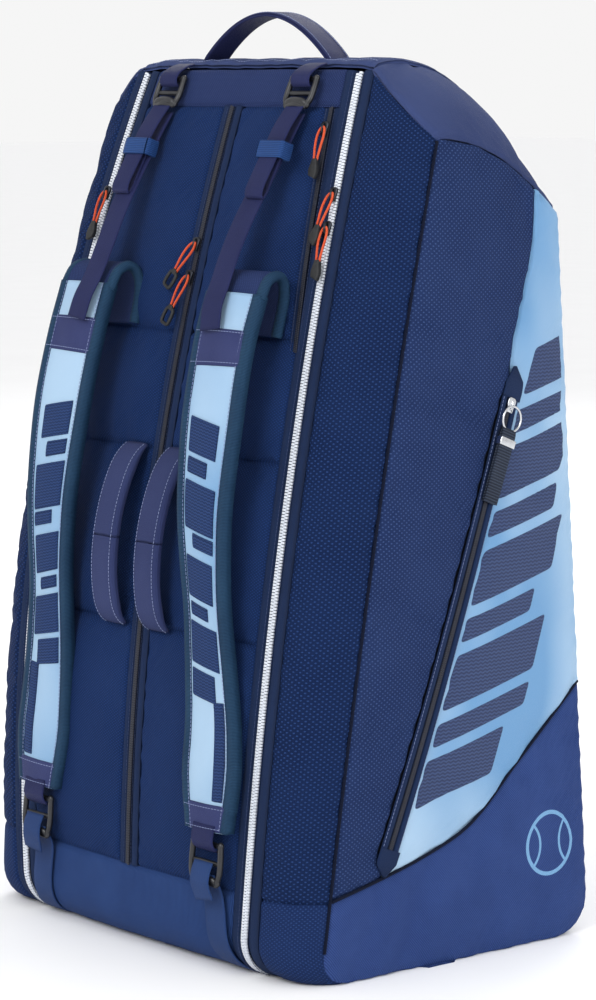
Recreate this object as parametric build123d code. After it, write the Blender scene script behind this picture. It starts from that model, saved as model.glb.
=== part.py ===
"""A three-compartment racket bag that stands upright on its base, in millimetres.

+Z is up, the front with the straps faces -Y, and the origin is the middle of the base. The centre compartment is
the fixed part. Each outer racket compartment has a cover that swings out about the bag's back edge once its zip
is open. Panels are flat or gently curved slabs of padded cloth that meet at the real seams.
"""

import os
from math import cos, hypot, radians, sin, sqrt

from build123d import *

# The bag's outline.
RIDGE_Z = 765  # top of the bag under the grab handle
RIDGE_Y = 5
BASE_HALF_Y = 164  # the base reaches this far to the front
FRONT_RADIUS = 38  # rounding of the front bottom edge
BACK_RADIUS = 35  # rounding of the back bottom edge
SIDE_TOP_Z = 699  # highest point of a side panel
CLOTH = 4  # padded cloth
SEAM_GAP = 0.6  # between parts of different bodies
CENTRE_X = 150  # half the width of the top panel

# Heights of the seams across the front, from the base yoke to the top yoke.
SEAM_BASE, SEAM_GRIP, SEAM_STRAP, SEAM_ROOT, SEAM_TOP = 72, 282, 432, 533, 725
ZIP_TOP = 752  # upper end of the side zips
YOKE_TOP = 756  # the top yoke ends just under the ridge
TOP_END_Y = 137  # the top cloth meets the back panel here
SHOULDER_LOW, SHOULDER_HIGH = 634, 688  # the back panel narrows between these heights
ZIP_END_Y = 128  # the side zips end under the bag here

# Zips.
CHAIN_HALF = 3.0  # half the width of a closed chunky chain
TAPE = 9.0  # width of one tape from the zip's middle
CHAIN_RISE = 1.6  # the chain stands this far in front of the cloth
COIL_HALF = 2.6  # half the width of a closed coil chain
SLIDER = (9.0, 4.0, 13.0)  # width, thickness, length
PULL_Y = -7.9  # a pull's plane, in front of the chain
TIP = ((-46, 3.5), (-40, 5), (-31, 3.5))  # height and half width along a pull's rubber end

# Straps, handles and webbing.
WEBBING = 25.0
WEBBING_T = 1.6
STRAP_T = 9.0
STRAP_TOP_Z = 571
STRAP_END_Z = 124
HANDLE_HALF = 82  # half the distance between the grab handle's feet
HANDLE_WIDTH = 28
GRIP_WIDTH = 30
LOCK_T = 5.0  # thickness of a ladder lock
STRAP_LOCK = (40.0, 36.0)  # width and height
LIFTER_LOCK = (35.0, 28.0)
HANDLE_RISE = 40
HANDLE_T = 4
HANDLE_MOVES = 62  # the grab handle is stitched down beyond this x
GRIP_X = 29
GRIP_ENDS = (292, 424)
GRIP_T = 10

OUT = "parts"


# ---- the bag's surfaces ----------------------------------------------------------------------------------------
def zip_x(z):
    """Where a side zip runs, at height z."""
    return 162 - 0.00013 * (z - 340) ** 2


def front_y(z):
    """The front at a side zip: upright at the base and leaning back towards the ridge."""
    return -BASE_HALF_Y + 251.2 * (max(z, 0) / 1000) ** 2.06


def crown(z):
    """How far the middle of the front stands in front of the side zips."""
    return 4 + 0.008 * z


def front(x, z):
    """The front of the centre compartment, a shallow tent with its top at the centre zip."""
    return front_y(z) - crown(z) * (1 - min(abs(x) / zip_x(z), 1))


def seam_x(z):
    """The seam between a front gusset and its side panel."""
    return 226 - 0.00011 * (z - 340) ** 2


def seam_y(z):
    return front_y(z) + 45.5 - 0.00008 * (z - 450) ** 2


def back_x(z):
    """The back edge, which is also the line about which a cover swings."""
    return 238 - 0.042 * z


def back_y(z):
    return 165 - 0.034 * z


def side_x(y, z):
    """A side panel, between its front seam and the back edge."""
    share = (y - seam_y(z)) / (back_y(z) - seam_y(z))
    return seam_x(z) + share * (back_x(z) - seam_x(z))


def ridge_z(y):
    """The top panel, seen from the side."""
    return RIDGE_Z - 0.0041 * (y - RIDGE_Y) ** 2


def ridge_back(z):
    """The inverse of ridge_z behind the ridge."""
    return RIDGE_Y + sqrt(max(RIDGE_Z - z, 0) / 0.0041)


def side_top(y):
    """The upper outline of a side panel."""
    return SIDE_TOP_Z - 0.0032 * max(y, 0) ** 2


def side_top_back(z):
    return sqrt(max(SIDE_TOP_Z - z, 0) / 0.0032)


def back_round(z, radius, thick=0):
    """How far the rounded bottom edge, or its inner face, stands in from the upright face."""
    return radius - sqrt((radius - thick) ** 2 - (radius - z) ** 2) if z < radius else thick


# ---- helpers ---------------------------------------------------------------------------------------------------
def steps(low, high, count):
    return [low + (high - low) * i / count for i in range(count + 1)]


def slab(sections):
    """One solid through a row of flat outlines, each a list of points."""
    return Solid.make_loft([Wire.make_polygon(s, close=True) for s in sections], ruled=True)


def level(z, outer, inner):
    """A flat outline at height z, out along outer and back along inner."""
    return [(x, y, z) for x, y in outer] + [(x, y, z) for x, y in reversed(inner)]


def mirrored(shape, side):
    return shape if side > 0 else shape.mirror(Plane.YZ)


def block(x0, x1, y0, y1, z0, z1):
    return Pos((x0 + x1) / 2, (y0 + y1) / 2, (z0 + z1) / 2) * Box(x1 - x0, y1 - y0, z1 - z0)


def corner_ring(xs, centre_y, radius, thick, side, start=0, end=90):
    """Cloth round a bottom edge, as an arc from the base (0 degrees) up to the upright face (90)."""
    points = []
    for r, angles in ((radius, steps(start, end, 6)), (radius - thick, steps(end, start, 6))):
        for a in angles:
            points.append((side * r * sin(radians(a)), radius - r * cos(radians(a))))
    return slab([[(x, centre_y(x) + y, z) for y, z in points] for x in xs])


def front_centre(x):
    """The y of the middle of the front edge's rounding."""
    return front(x, FRONT_RADIUS) + FRONT_RADIUS


def front_band(x0, x1, z0, z1, thick=CLOTH, rise=0.0, count=3):
    """A strip of the front between two lines, x0 and x1, each a function of z."""
    sections = []
    for z in steps(z0, z1, count):
        xs = (x0(z), x1(z))
        outer = [(x, front(x, z) - rise) for x in xs]
        inner = [(x, front(x, z) - rise + thick) for x in xs]
        sections.append(level(z, outer, inner))
    return slab(sections)


def hung(points, width, thick):
    """A flat strap of which each point is (x, distance in front of the bag, z)."""
    sections = []
    for x, off, z in points:
        w = width(z) if callable(width) else width
        y = front(x, z) - off
        left, right = x - w / 2, x + w / 2
        sections.append(level(z, [(left, y - thick), (right, y - thick)], [(left, y), (right, y)]))
    return slab(sections)


def arc_strip(half, rise, width, thick, start, end, count=10):
    """A strip bent over a parabola in the XZ plane, of the given rise above the line through its feet."""
    outer, inner = [], []
    for x in steps(start, end, count):
        slope = -2 * rise * x / half**2
        across = thick / 2 / hypot(slope, 1)
        z = rise * (1 - (x / half) ** 2)
        outer.append((x - slope * across, z + across))
        inner.append((x + slope * across, z - across))
    points = outer + list(reversed(inner))
    return slab([[(x, y, z) for x, z in points] for y in (-width / 2, width / 2)])


def save(name, *solids):
    shape = solids[0] if len(solids) == 1 else Compound(list(solids))
    export_step(shape, f"{OUT}/{name}.step")


# ---- centre compartment ----------------------------------------------------------------------------------------
def front_panels():
    """Two panels a band, one each side of the centre zip."""
    bands = {
        "lower_front_panels": (SEAM_BASE, SEAM_GRIP),
        "grip_front_panels": (SEAM_GRIP, SEAM_STRAP),
        "strap_front_panels": (SEAM_STRAP, SEAM_ROOT),
        "upper_front_panels": (SEAM_ROOT, SEAM_TOP),
    }
    for name, (low, high) in bands.items():
        right = front_band(lambda z: TAPE, lambda z: zip_x(z) - TAPE - 0.3, low, high)
        save(name, right, mirrored(right, -1))


def yokes():
    edge = zip_x(0) - TAPE - 0.3
    low = front_band(lambda z: 0, lambda z: edge, FRONT_RADIUS, SEAM_BASE, count=2)
    ring = corner_ring((0, edge), front_centre, FRONT_RADIUS, CLOTH, -1)
    save("bottom_yoke", low, ring, mirrored(low, -1), mirrored(ring, -1))

    top = front_band(lambda z: 0, lambda z: zip_x(z) - TAPE - 0.3, SEAM_TOP, YOKE_TOP, count=2)
    save("top_yoke", top, mirrored(top, -1))


def base_panel():
    half = zip_x(0) - TAPE - 0.3
    end = back_y(BACK_RADIUS) - BACK_RADIUS
    front_edge = [(x, front_centre(x)) for x in (-half, 0, half)]
    outline = front_edge + [(half, end), (-half, end)]
    save("base_panel", slab([[(x, y, z) for x, y in outline] for z in (0, CLOTH)]))


def top_panel():
    """Plain cloth from the front of the ridge, over it and down to the back panel."""
    sections = []
    for x in (-CENTRE_X, 0, CENTRE_X):
        outer = [(y, ridge_z(y)) for y in steps(front(x, YOKE_TOP) + CLOTH, TOP_END_Y, 10)]
        sections.append([(x, y, z) for y, z in outer] + [(x, y, z - CLOTH) for y, z in reversed(outer)])
    save("top_panel", slab(sections))


def back_panel():
    def half_width(z):
        share = (SHOULDER_HIGH - z) / (SHOULDER_HIGH - SHOULDER_LOW)
        shoulder = CENTRE_X + share * (back_x(SHOULDER_LOW) - CENTRE_X)
        return min(back_x(z), shoulder) - CLOTH - SEAM_GAP

    sections = []
    for z in (BACK_RADIUS, 330, SHOULDER_LOW, SHOULDER_HIGH):
        half, y = half_width(z), back_y(z)
        sections.append(level(z, [(-half, y), (half, y)], [(-half, y - CLOTH), (half, y - CLOTH)]))
    half = side_x(125, BACK_RADIUS) - CLOTH - SEAM_GAP
    ring = corner_ring((-half, half), lambda x: back_y(BACK_RADIUS) - BACK_RADIUS, BACK_RADIUS, CLOTH, 1)
    save("back_panel", slab(sections), ring)


def dividers():
    """The padded walls between the centre compartment and the racket compartments."""
    sections = []
    for z in [8, 20, 40] + steps(100, 740, 8):
        inner = zip_x(z) - TAPE - 6
        low = front(inner - 3, z) + 1.5 + back_round(z, FRONT_RADIUS, CLOTH)
        high = min(back_y(z) - back_round(z, BACK_RADIUS, CLOTH), ridge_back(z + CLOTH) - CLOTH) - 1.5
        sections.append(level(z, [(inner, low), (inner, high)], [(inner - 3, low), (inner - 3, high)]))
    right = slab(sections)
    save("right_divider", right)
    save("left_divider", mirrored(right, -1))


# ---- covers of the racket compartments -------------------------------------------------------------------------
def gusset(side):
    """The cover's front strip, from the zip round to the side panel, and its strip under the bag."""
    sections = []
    for z in [0, 4, 12, FRONT_RADIUS, SEAM_BASE] + steps(160, 680, 5) + [697]:
        start = (zip_x(z) + TAPE + 2, front_y(z) + 1 + back_round(z, FRONT_RADIUS))
        end = (seam_x(z) - CLOTH, seam_y(z) - 1)
        middle = ((start[0] + end[0]) / 2 + 3, (start[1] + end[1]) / 2 - 6)
        outer = [start, middle, end]
        sections.append(level(z, outer, [(x - 1.5, y + CLOTH) for x, y in outer]))
    inner_x, low, high = zip_x(0) + TAPE + 0.4, front_y(0) + FRONT_RADIUS, back_y(BACK_RADIUS) - BACK_RADIUS
    outer_low, outer_high = (side_x(y, 0) - CLOTH - 0.8 for y in (low, high))
    outline = [(inner_x, low), (outer_low, low), (outer_high, high), (inner_x, high)]
    under = slab([[(x, y, z) for x, y in outline] for z in (0, CLOTH)])
    save(f"{side_name(side)}_gusset", mirrored(slab(sections), side), mirrored(under, side))


def side_panel(side):
    sections = []
    for z in [0, 6, 16, BACK_RADIUS, SEAM_BASE] + steps(160, SHOULDER_LOW, 4) + [650, 666, 680, 691]:
        low = seam_y(z) if z < SIDE_TOP_Z - 1 else 0
        high = min(back_y(z) - back_round(z, BACK_RADIUS), side_top_back(z))
        ends = [(side_x(low, z), low), (side_x(high, z), high)]
        sections.append(level(z, ends, [(x - CLOTH, y) for x, y in ends]))
    save(f"{side_name(side)}_side_panel", mirrored(slab(sections), side))


def shoulder(side):
    """The cover's end of the plain top cloth, which slopes from the ridge to the side panel."""
    def section(y_in, y_out):
        low_x, high_x = CENTRE_X + 2, seam_x(690) - 7
        low_z, high_z = ridge_z(y_in), side_top(y_out) + 3
        outer = []
        for share, lift in ((0, 0), (0.5, 9), (1, 0)):
            x = low_x + share * (high_x - low_x)
            outer.append((x, y_in + share * (y_out - y_in), low_z + share * (high_z - low_z) + lift))
        return outer + [(x, y, z - CLOTH) for x, y, z in reversed(outer)]

    rows = [(-20, -3), (0, 8), (35, 38), (70, 70), (105, 105), (134, 134)]
    save(f"{side_name(side)}_shoulder", mirrored(slab([section(a, b) for a, b in rows]), side))


def side_name(side):
    return "right" if side > 0 else "left"


# ---- zips ------------------------------------------------------------------------------------------------------
def side_zip(side):
    """The two halves of a side zip: one on the centre compartment and one on the cover."""
    for name, way in (("inner", -1), ("outer", 1)):
        gap, edge, tooth = way * SEAM_GAP / 2, way * (TAPE - 0.2), way * CHAIN_HALF

        def strip(far, rise, thick):
            sections = []
            for z in steps(FRONT_RADIUS, ZIP_TOP, 8):
                x0, x1 = sorted((zip_x(z) + gap, zip_x(z) + far))
                y = front_y(z) - rise
                sections.append(level(z, [(x0, y), (x1, y)], [(x0, y + thick), (x1, y + thick)]))
            return slab(sections)

        x0, x1 = sorted((zip_x(0) + gap, zip_x(0) + edge))
        centre_y = front_y(FRONT_RADIUS) + FRONT_RADIUS
        ring = corner_ring((x0, x1), lambda x: centre_y, FRONT_RADIUS, 2, -1)
        under = block(x0, x1, centre_y, ZIP_END_Y, 0.4, 2)
        parts = (strip(edge, 0, 2), ring, under, strip(tooth, CHAIN_RISE, CHAIN_RISE))
        save(f"{side_name(side)}_zip_{name}", *[mirrored(part, side) for part in parts])


def centre_zip():
    half = front_band(lambda z: SEAM_GAP / 2, lambda z: TAPE - 0.2, SEAM_BASE, SEAM_TOP, thick=2, count=8)
    coil = front_band(lambda z: SEAM_GAP / 2, lambda z: COIL_HALF, SEAM_BASE, SEAM_TOP, 1.1, 1.2, 8)
    save("centre_zip", half, coil, mirrored(half, -1), mirrored(coil, -1))


POCKET_DEPTH = 32
FRONT_POCKET_ZIP = ((120.0, 719.0), (143.0, 512.0))  # x and z of its upper and lower ends


def front_pocket():
    (x1, z1), (x0, z0) = FRONT_POCKET_ZIP

    def line(z):
        return x0 + (x1 - x0) * (z - z0) / (z1 - z0)

    chain = front_band(lambda z: line(z) - COIL_HALF, lambda z: line(z) + COIL_HALF, z0 + 24, z1, 1.2, 1.4, 4)
    save("front_pocket_zip", chain)
    save("front_pocket", front_band(lambda z: 22, lambda z: 112, SEAM_ROOT + 4, SEAM_TOP - 6, 1.5, -POCKET_DEPTH))


SIDE_POCKET_ZIP = ((73.6, 481.4), (-69.6, 107.4))  # y and z of its upper and lower ends


SIDE_SLIDER_Z, SIDE_SLIDE = 473.4, 74  # height of its slider, and how far down it travels


def side_pocket_point(z):
    """A point on the side panel, on the pocket zip's line."""
    (y1, z1), (y0, z0) = SIDE_POCKET_ZIP
    y = y0 + (y1 - y0) * (z - z0) / (z1 - z0)
    return Vector(side_x(y, z), y, z)


def side_pocket():
    (y1, z1), (y0, z0) = SIDE_POCKET_ZIP

    def strip(y_low, y_high, base, thick, z_low, z_high):
        sections = []
        for z in steps(z_low, z_high, 6):
            ends = [(side_x(y, z) + base, y) for y in (y_low(z), y_high(z))]
            sections.append(level(z, [(x + thick, y) for x, y in ends], ends))
        return slab(sections)

    def line(z):
        return y0 + (y1 - y0) * (z - z0) / (z1 - z0)

    save("side_pocket_zip", strip(lambda z: line(z) - 2.8, lambda z: line(z) + 2.8, 0.2, 1.4, z0, z1))
    save("side_pocket", strip(lambda z: line(z) - 30, lambda z: min(line(z) + 120, 130), -16, 1.5, z0, z1 - 30))


def slider(place, open_side=False):
    """A slider over a chain: a plate, and a bridge that the pull hangs from. -Y is away from the bag."""
    width, thick, length = SLIDER
    edge = 0.3 if open_side else width / 2
    plate = block(-width / 2, edge, -thick / 2 - 0.6, -0.6, -length / 2, length / 2)
    bridge = block(-1.6, 1.6 if not open_side else 0.3, -thick - 1.6, -thick / 2 - 0.6, -4, 4)
    bridge -= block(-1.7, 1.7, -thick - 0.5, -thick / 2 - 0.9, -2, 2)
    return place * (plate + bridge)


def pull(place, lean=0):
    """A cord loop, as one flat tube, and the rubber end that closes it."""
    y = PULL_Y
    cord = block(-2.6, 2.6, y - 1.1, y + 1.1, -31, -1.5)
    tip = slab([level(z, [(-w, y - 2), (w, y - 2)], [(-w, y + 2), (w, y + 2)]) for z, w in TIP])
    turn = place * Rot(0, lean, 0)
    return turn * cord, turn * tip


def on_front(x, z, rise=CHAIN_RISE, line=None):
    """A place on the front with its Z axis up along the front, and its -Y axis away from the bag."""
    line = line or (lambda z: x)
    lean = (front(x, z + 5) - front(x, z - 5)) / 10
    tangent = Vector((line(z + 5) - line(z - 5)) / 10, lean, 1).normalized()
    across = Vector(1, 0, 0) - tangent * tangent.X
    return Location(Plane(Vector(x, front(x, z) - rise, z), x_dir=across.normalized(), z_dir=tangent))


def pocket_line(z):
    (x1, z1), (x0, z0) = FRONT_POCKET_ZIP
    return x0 + (x1 - x0) * (z - z0) / (z1 - z0)


FRONT_SLIDERS = {  # name: the zip's line, height, lean of the pull in degrees, and whether a cover opens beside it
    "centre_upper": (lambda z: 0, 606, 30, False),
    "centre_lower": (lambda z: 0, 578, 20, False),
    "right_upper": (zip_x, 652, 14, True),
    "right_lower": (zip_x, 624, 0, True),
    "left_zip": (zip_x, 646, 0, True),
    "front_pocket": (pocket_line, 706, 0, False),
}


def sliders():
    for name, (line, z, lean, open_side) in FRONT_SLIDERS.items():
        side = -1 if name.startswith("left") else 1
        place = on_front(line(z), z, line=line)
        save(f"{name}_slider", mirrored(slider(place, open_side), side))
        save(f"{name}_pull", *[mirrored(part, side) for part in pull(place, lean)])


def side_pocket_slider():
    """The side pocket's slider, its wire ring and the webbing loop through the ring."""
    high, low = side_pocket_point(SIDE_SLIDER_Z), side_pocket_point(SIDE_SLIDER_Z - SIDE_SLIDE)
    tangent = (high - low).normalized()
    plane = Plane(high + Vector(1.6, 0, 0), x_dir=tangent.cross(Vector(1, 0, 0)), z_dir=tangent)
    place = Location(plane)
    save("side_pocket_slider", slider(place))
    ring_y = PULL_Y
    ring = Pos(0, ring_y, -12) * Rot(90, 0, 0) * (Cylinder(12, 2) - Cylinder(9.6, 4))
    save("side_pocket_ring", place * ring)
    loop = block(-9, 9, ring_y - 2.4, ring_y + 2.4, -88, -26)
    save("side_pocket_loop", place * loop)


# ---- straps, buckles, handles ----------------------------------------------------------------------------------
def strap_width(z):
    return 67 - 21 * max(0, 1 - abs(z - 310) / 150) if z > 160 else 48 + (z - 124) * 0.35


def lock_frame(width, height):
    """A ladder lock in the XZ plane with two slots, hanging from its upper bar at the origin."""
    frame = block(-width / 2, width / 2, -LOCK_T / 2, LOCK_T / 2, -height + 3, 3)
    slot = (height - 10) / 2
    for top in (-2.5, -4.5 - slot):
        frame -= block(-width / 2 + 5, width / 2 - 5, -LOCK_T, LOCK_T, top - slot, top)
    return frame


STRAP_X, STRAP_OFF = 99, 34
STRAP_LOCK_AT = (116, 12, 112)  # x, distance in front and z of its upper bar
LIFTER_LOCK_AT = (87, 7, 747)


def strap(side):
    path = [(99, 34, STRAP_TOP_Z), (99, 37, 530), (101, 37, 470), (103, 33, 400), (105, 26, 350), (107, 17, 300),
            (110, 10, 250), (113, 7, 210), (115, 7.5, 160), (116, 8, STRAP_END_Z)]
    save(f"{side_name(side)}_strap", mirrored(hung(path, strap_width, STRAP_T), side))
    for name, (x, off, z), size in (("strap", STRAP_LOCK_AT, STRAP_LOCK), ("lifter", LIFTER_LOCK_AT, LIFTER_LOCK)):
        save(f"{side_name(side)}_{name}_lock", mirrored(on_front(x, z, off) * lock_frame(*size), side))


def strap_root(side):
    """The strap's end in its seam: up along the bag and forward, to where the strap turns down."""
    top, under = STRAP_TOP_Z + 12, STRAP_TOP_Z + 3
    sections = []
    for x in (64, 94, 124):
        back, high = front(x, SEAM_ROOT + 2) - 1, front(x, top) - 1
        fore = front(STRAP_X, STRAP_TOP_Z) - STRAP_OFF - STRAP_T
        leg = front(x, under) - 1 - STRAP_T
        outline = [(back, SEAM_ROOT + 2), (high, top), (fore, top), (fore, under), (leg, under)]
        outline.append((back - STRAP_T, SEAM_ROOT + 2))
        sections.append([(x, y, z) for y, z in outline])
    save(f"{side_name(side)}_strap_root", mirrored(slab(sections), side))


def lower_webbing(side):
    """From below the strap's lock, down the front and round the bottom edge to its seam."""
    x, clear = 116, 0.8
    band = [(x, clear + (z - FRONT_RADIUS) * 0.12, z) for z in (FRONT_RADIUS, 50, 73)]
    radius, ends = FRONT_RADIUS + clear + WEBBING_T, (x - WEBBING / 2, x + WEBBING / 2)
    ring = corner_ring(ends, lambda _: front_centre(x), radius, WEBBING_T, -1, 40, 90)
    ring = Pos(0, 0, FRONT_RADIUS - radius) * ring
    save(f"{side_name(side)}_lower_webbing", mirrored(hung(band, WEBBING, WEBBING_T), side), mirrored(ring, side))


def lifter_webbing(side):
    """The webbing from the lock at the top yoke to the strap, with its tail folded in front of it."""
    main = hung([(84, 41, 586), (84, 38, 612), (86, 24, 660), (87, 12, 700), (87, 6, 715)], WEBBING, WEBBING_T)
    tail = hung([(89, 31, 658), (88, 23, 685), (88, 17, 706)], WEBBING - 3, 4)
    save(f"{side_name(side)}_lifter_webbing", mirrored(main, side), mirrored(tail, side))


def keepers_and_anchors():
    """The elastic keepers round the folded tails, and the short webbings that hold the upper locks."""
    hole = 17
    sleeve = block(-hole - 1, hole + 1, -11, 11, -9, 9) - block(-hole, hole, -10, 10, -10, 10)
    keeper = on_front(88, 687, 20) * sleeve
    save("elastic_keepers", keeper, mirrored(keeper, -1))
    anchor = hung([(87, 6, 751.5), (87, 5, 756)], WEBBING, WEBBING_T)
    save("lifter_anchors", anchor, mirrored(anchor, -1))


def grab_handle():
    """The handle, cut off upright where its stitched feet begin, so that it swings clear of them."""
    place = Pos(0, RIDGE_Y, RIDGE_Z - 1)
    reach = HANDLE_MOVES + 4
    arc = place * arc_strip(HANDLE_HALF, HANDLE_RISE, HANDLE_WIDTH, HANDLE_T, -reach, reach)
    save("top_handle", arc & block(-HANDLE_MOVES, HANDLE_MOVES, -50, 50, RIDGE_Z, RIDGE_Z + 60))
    foot = place * arc_strip(HANDLE_HALF, HANDLE_RISE, HANDLE_WIDTH, HANDLE_T, HANDLE_MOVES - 4, HANDLE_HALF - 4, 4)
    foot &= block(HANDLE_MOVES + 0.8, HANDLE_HALF, -50, 50, RIDGE_Z - 20, RIDGE_Z + 60)
    save("handle_anchors", foot, mirrored(foot, -1))


def carry_grips():
    low, high = GRIP_ENDS
    middle, half = (low + high) / 2, (high - low) / 2

    def bow(z):
        return 9.5 + 18 * (1 - ((z - middle) / half) ** 2)

    grip = hung([(GRIP_X, bow(z), z) for z in steps(low, high, 10)], GRIP_WIDTH, GRIP_T)
    save("right_grip", grip)
    save("left_grip", mirrored(grip, -1))
    tabs = [hung([(GRIP_X, 1.5, z), (GRIP_X, 1.5, z + 9)], GRIP_WIDTH, GRIP_T + 6) for z in (low - 11, high + 2)]
    save("grip_anchors", *tabs, *[mirrored(tab, -1) for tab in tabs])


def main():
    os.makedirs(OUT, exist_ok=True)
    for build in (front_panels, yokes, base_panel, top_panel, back_panel, dividers, centre_zip, front_pocket,
                  side_pocket, sliders, side_pocket_slider, keepers_and_anchors, grab_handle, carry_grips):
        build()
    for side in (1, -1):
        for build in (gusset, side_panel, shoulder, side_zip, strap, strap_root, lower_webbing, lifter_webbing):
            build(side)


if __name__ == "__main__":
    main()
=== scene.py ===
"""Looks of the racket bag, in metres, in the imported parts' frame.

+Z is up, the front faces -Y and the base is at z 0.
"""

import math

import bpy
import numpy as np
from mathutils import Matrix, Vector


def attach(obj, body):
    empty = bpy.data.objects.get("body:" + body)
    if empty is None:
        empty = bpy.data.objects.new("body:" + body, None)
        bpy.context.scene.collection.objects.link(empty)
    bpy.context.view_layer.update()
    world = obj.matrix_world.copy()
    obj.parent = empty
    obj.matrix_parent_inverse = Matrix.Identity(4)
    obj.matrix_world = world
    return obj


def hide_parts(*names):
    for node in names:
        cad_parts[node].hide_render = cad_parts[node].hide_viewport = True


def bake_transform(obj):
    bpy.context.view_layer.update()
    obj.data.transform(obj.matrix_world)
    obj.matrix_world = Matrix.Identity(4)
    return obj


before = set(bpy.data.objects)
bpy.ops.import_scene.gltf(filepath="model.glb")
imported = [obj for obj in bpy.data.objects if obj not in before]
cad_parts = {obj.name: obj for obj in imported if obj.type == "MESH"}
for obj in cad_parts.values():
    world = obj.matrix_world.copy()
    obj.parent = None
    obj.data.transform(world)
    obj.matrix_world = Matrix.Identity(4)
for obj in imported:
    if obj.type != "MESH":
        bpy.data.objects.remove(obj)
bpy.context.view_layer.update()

# ---- driving dimensions ----------------------------------------------------------------------
BASE_HALF_Y = 0.164
FRONT_RADIUS = 0.038
BACK_RADIUS = 0.036
RIDGE_Z, RIDGE_Y = 0.765, 0.005
SEAM_BASE, SEAM_GRIP, SEAM_STRAP, SEAM_ROOT, SEAM_TOP = 0.072, 0.282, 0.432, 0.533, 0.725
ZIP_TOP = 0.753
FACING = 0.0155  # from the middle of a side zip to the edge of the textured cloth
COIL_FACING = 0.0115  # the same beside the centre zip
CLOTH = 0.0025
WEBBING, WEBBING_T = 0.025, 0.0016
STRAP_T = 0.009
BACK_TOP_Y = 0.1412  # where the top cloth meets the back
SATIN_ROUGH = 0.42

SIDES = (("right", 1), ("left", -1))


# ---- the bag's surfaces ----------------------------------------------------------------------
def zip_x(z):
    return 0.162 - 0.13 * (z - 0.34) ** 2


def front_y(z):
    return -BASE_HALF_Y + 0.2512 * np.maximum(z, 0) ** 2.06


def crown(z):
    return 0.004 + 0.008 * z


def seam_x(z):
    return 0.226 - 0.11 * (z - 0.34) ** 2


def seam_y(z):
    return front_y(z) + 0.0455 - 0.08 * (z - 0.45) ** 2


def back_x(z):
    return 0.238 - 0.042 * z


def back_y(z):
    return 0.165 - 0.034 * z


def ridge_z(y):
    return RIDGE_Z - 4.1 * (y - RIDGE_Y) ** 2


def side_top(y):
    return 0.699 - 3.2 * np.maximum(y, 0) ** 2


def side_top_back(z):
    return np.sqrt(np.maximum(0.699 - z, 0) / 3.2)


def roll(v, radius):
    """Height and set-back at v along a profile that comes down and turns under the bag round a radius."""
    angle = np.clip((radius - v) / radius, 0, np.pi / 2)
    z = np.where(v > radius, v, radius * (1 - np.sin(angle)))
    under = np.maximum(radius * (1 - np.pi / 2) - v, 0)
    return z, radius * (1 - np.cos(angle)) + under


def front(x, v, radius=FRONT_RADIUS):
    """The front of the centre compartment at x, and at v along its profile."""
    z, back = roll(v, radius)
    hollow = 1 - np.minimum(np.abs(x) / zip_x(z), 1.1) ** 2
    return np.stack([x + 0 * z, front_y(z) - crown(z) * hollow + back, z + 0 * x], -1)


def side(y, z):
    share = (y - seam_y(z)) / (back_y(z) - seam_y(z))
    bulge = 0.0025 * np.clip(4 * share * (1 - share), 0, 1) * np.clip((side_top(y) - z) / 0.15, 0, 1)
    bulge = bulge * np.clip(z / 0.1, 0, 1)
    return np.stack([seam_x(z) + share * (back_x(z) - seam_x(z)) + bulge, y + 0 * z, z + 0 * y], -1)


# ---- mesh helpers ----------------------------------------------------------------------------
def unit(a):
    return a / np.maximum(np.linalg.norm(a, axis=-1, keepdims=True), 1e-12)


def make(name, points, faces, uvs, material, smooth=True):
    """A mesh object with one UV pair a vertex, in metres over the cloth."""
    mesh = bpy.data.meshes.new(name)
    mesh.from_pydata([tuple(p) for p in points], [], [tuple(int(i) for i in f) for f in faces])
    layer = mesh.uv_layers.new(name="cloth")
    loops = np.zeros(len(mesh.loops), np.int32)
    mesh.loops.foreach_get("vertex_index", loops)
    layer.data.foreach_set("uv", np.asarray(uvs, np.float32)[loops].ravel())
    mesh.materials.append(material)
    mesh.polygons.foreach_set("use_smooth", [smooth] * len(mesh.polygons))
    obj = bpy.data.objects.new(name, mesh)
    bpy.context.collection.objects.link(obj)
    return obj


def place(obj, body, slot, *nodes):
    """The piece rides on a body and stands for CAD nodes, which it hides. slot is not used."""
    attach(obj, body)
    if nodes:
        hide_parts(*nodes)
    return obj


def fractions(length, step=0.007, edge=0.0075, fine=0.0012):
    """Places from 0 to 1 along a length, closer together near both ends."""
    if length < 3 * edge:
        return np.linspace(0, 1, max(4, int(length / fine / 2)))
    ends = np.arange(0, edge, fine)
    middle = np.linspace(edge, length - edge, max(2, int((length - 2 * edge) / step)))
    return np.concatenate([ends, middle, length - ends[::-1]]) / length


def grid_normals(p):
    """Normals of a grid of points, facing away from the bag's middle."""
    n = unit(np.cross(np.gradient(p, axis=0), np.gradient(p, axis=1)))
    outward = p - np.array([0, 0, 0.35])
    return n if (n * outward).sum() > 0 else -n


def run(p, axis):
    """Length so far along a grid's rows or columns."""
    d = np.linalg.norm(np.diff(p, axis=axis), axis=-1)
    start = np.zeros_like(d[:1]) if axis == 0 else np.zeros_like(d[:, :1])
    return np.concatenate([start, np.cumsum(d, axis=axis)], axis=axis)


def ripple(p, scale, phase=0.0):
    """A soft uneven wave, from about -1 to 1, that depends on place alone."""
    x, y, z = (p[..., i] / scale for i in range(3))
    wave = np.sin(2.1 * x + 1.3 * z + phase) * np.cos(1.7 * z - 1.1 * y + 0.7 * phase)
    return 0.6 * wave + 0.4 * np.sin(3.7 * z + 2.9 * x + 1.9 * phase) * np.cos(2.3 * y - 1.9 * x + phase)


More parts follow.
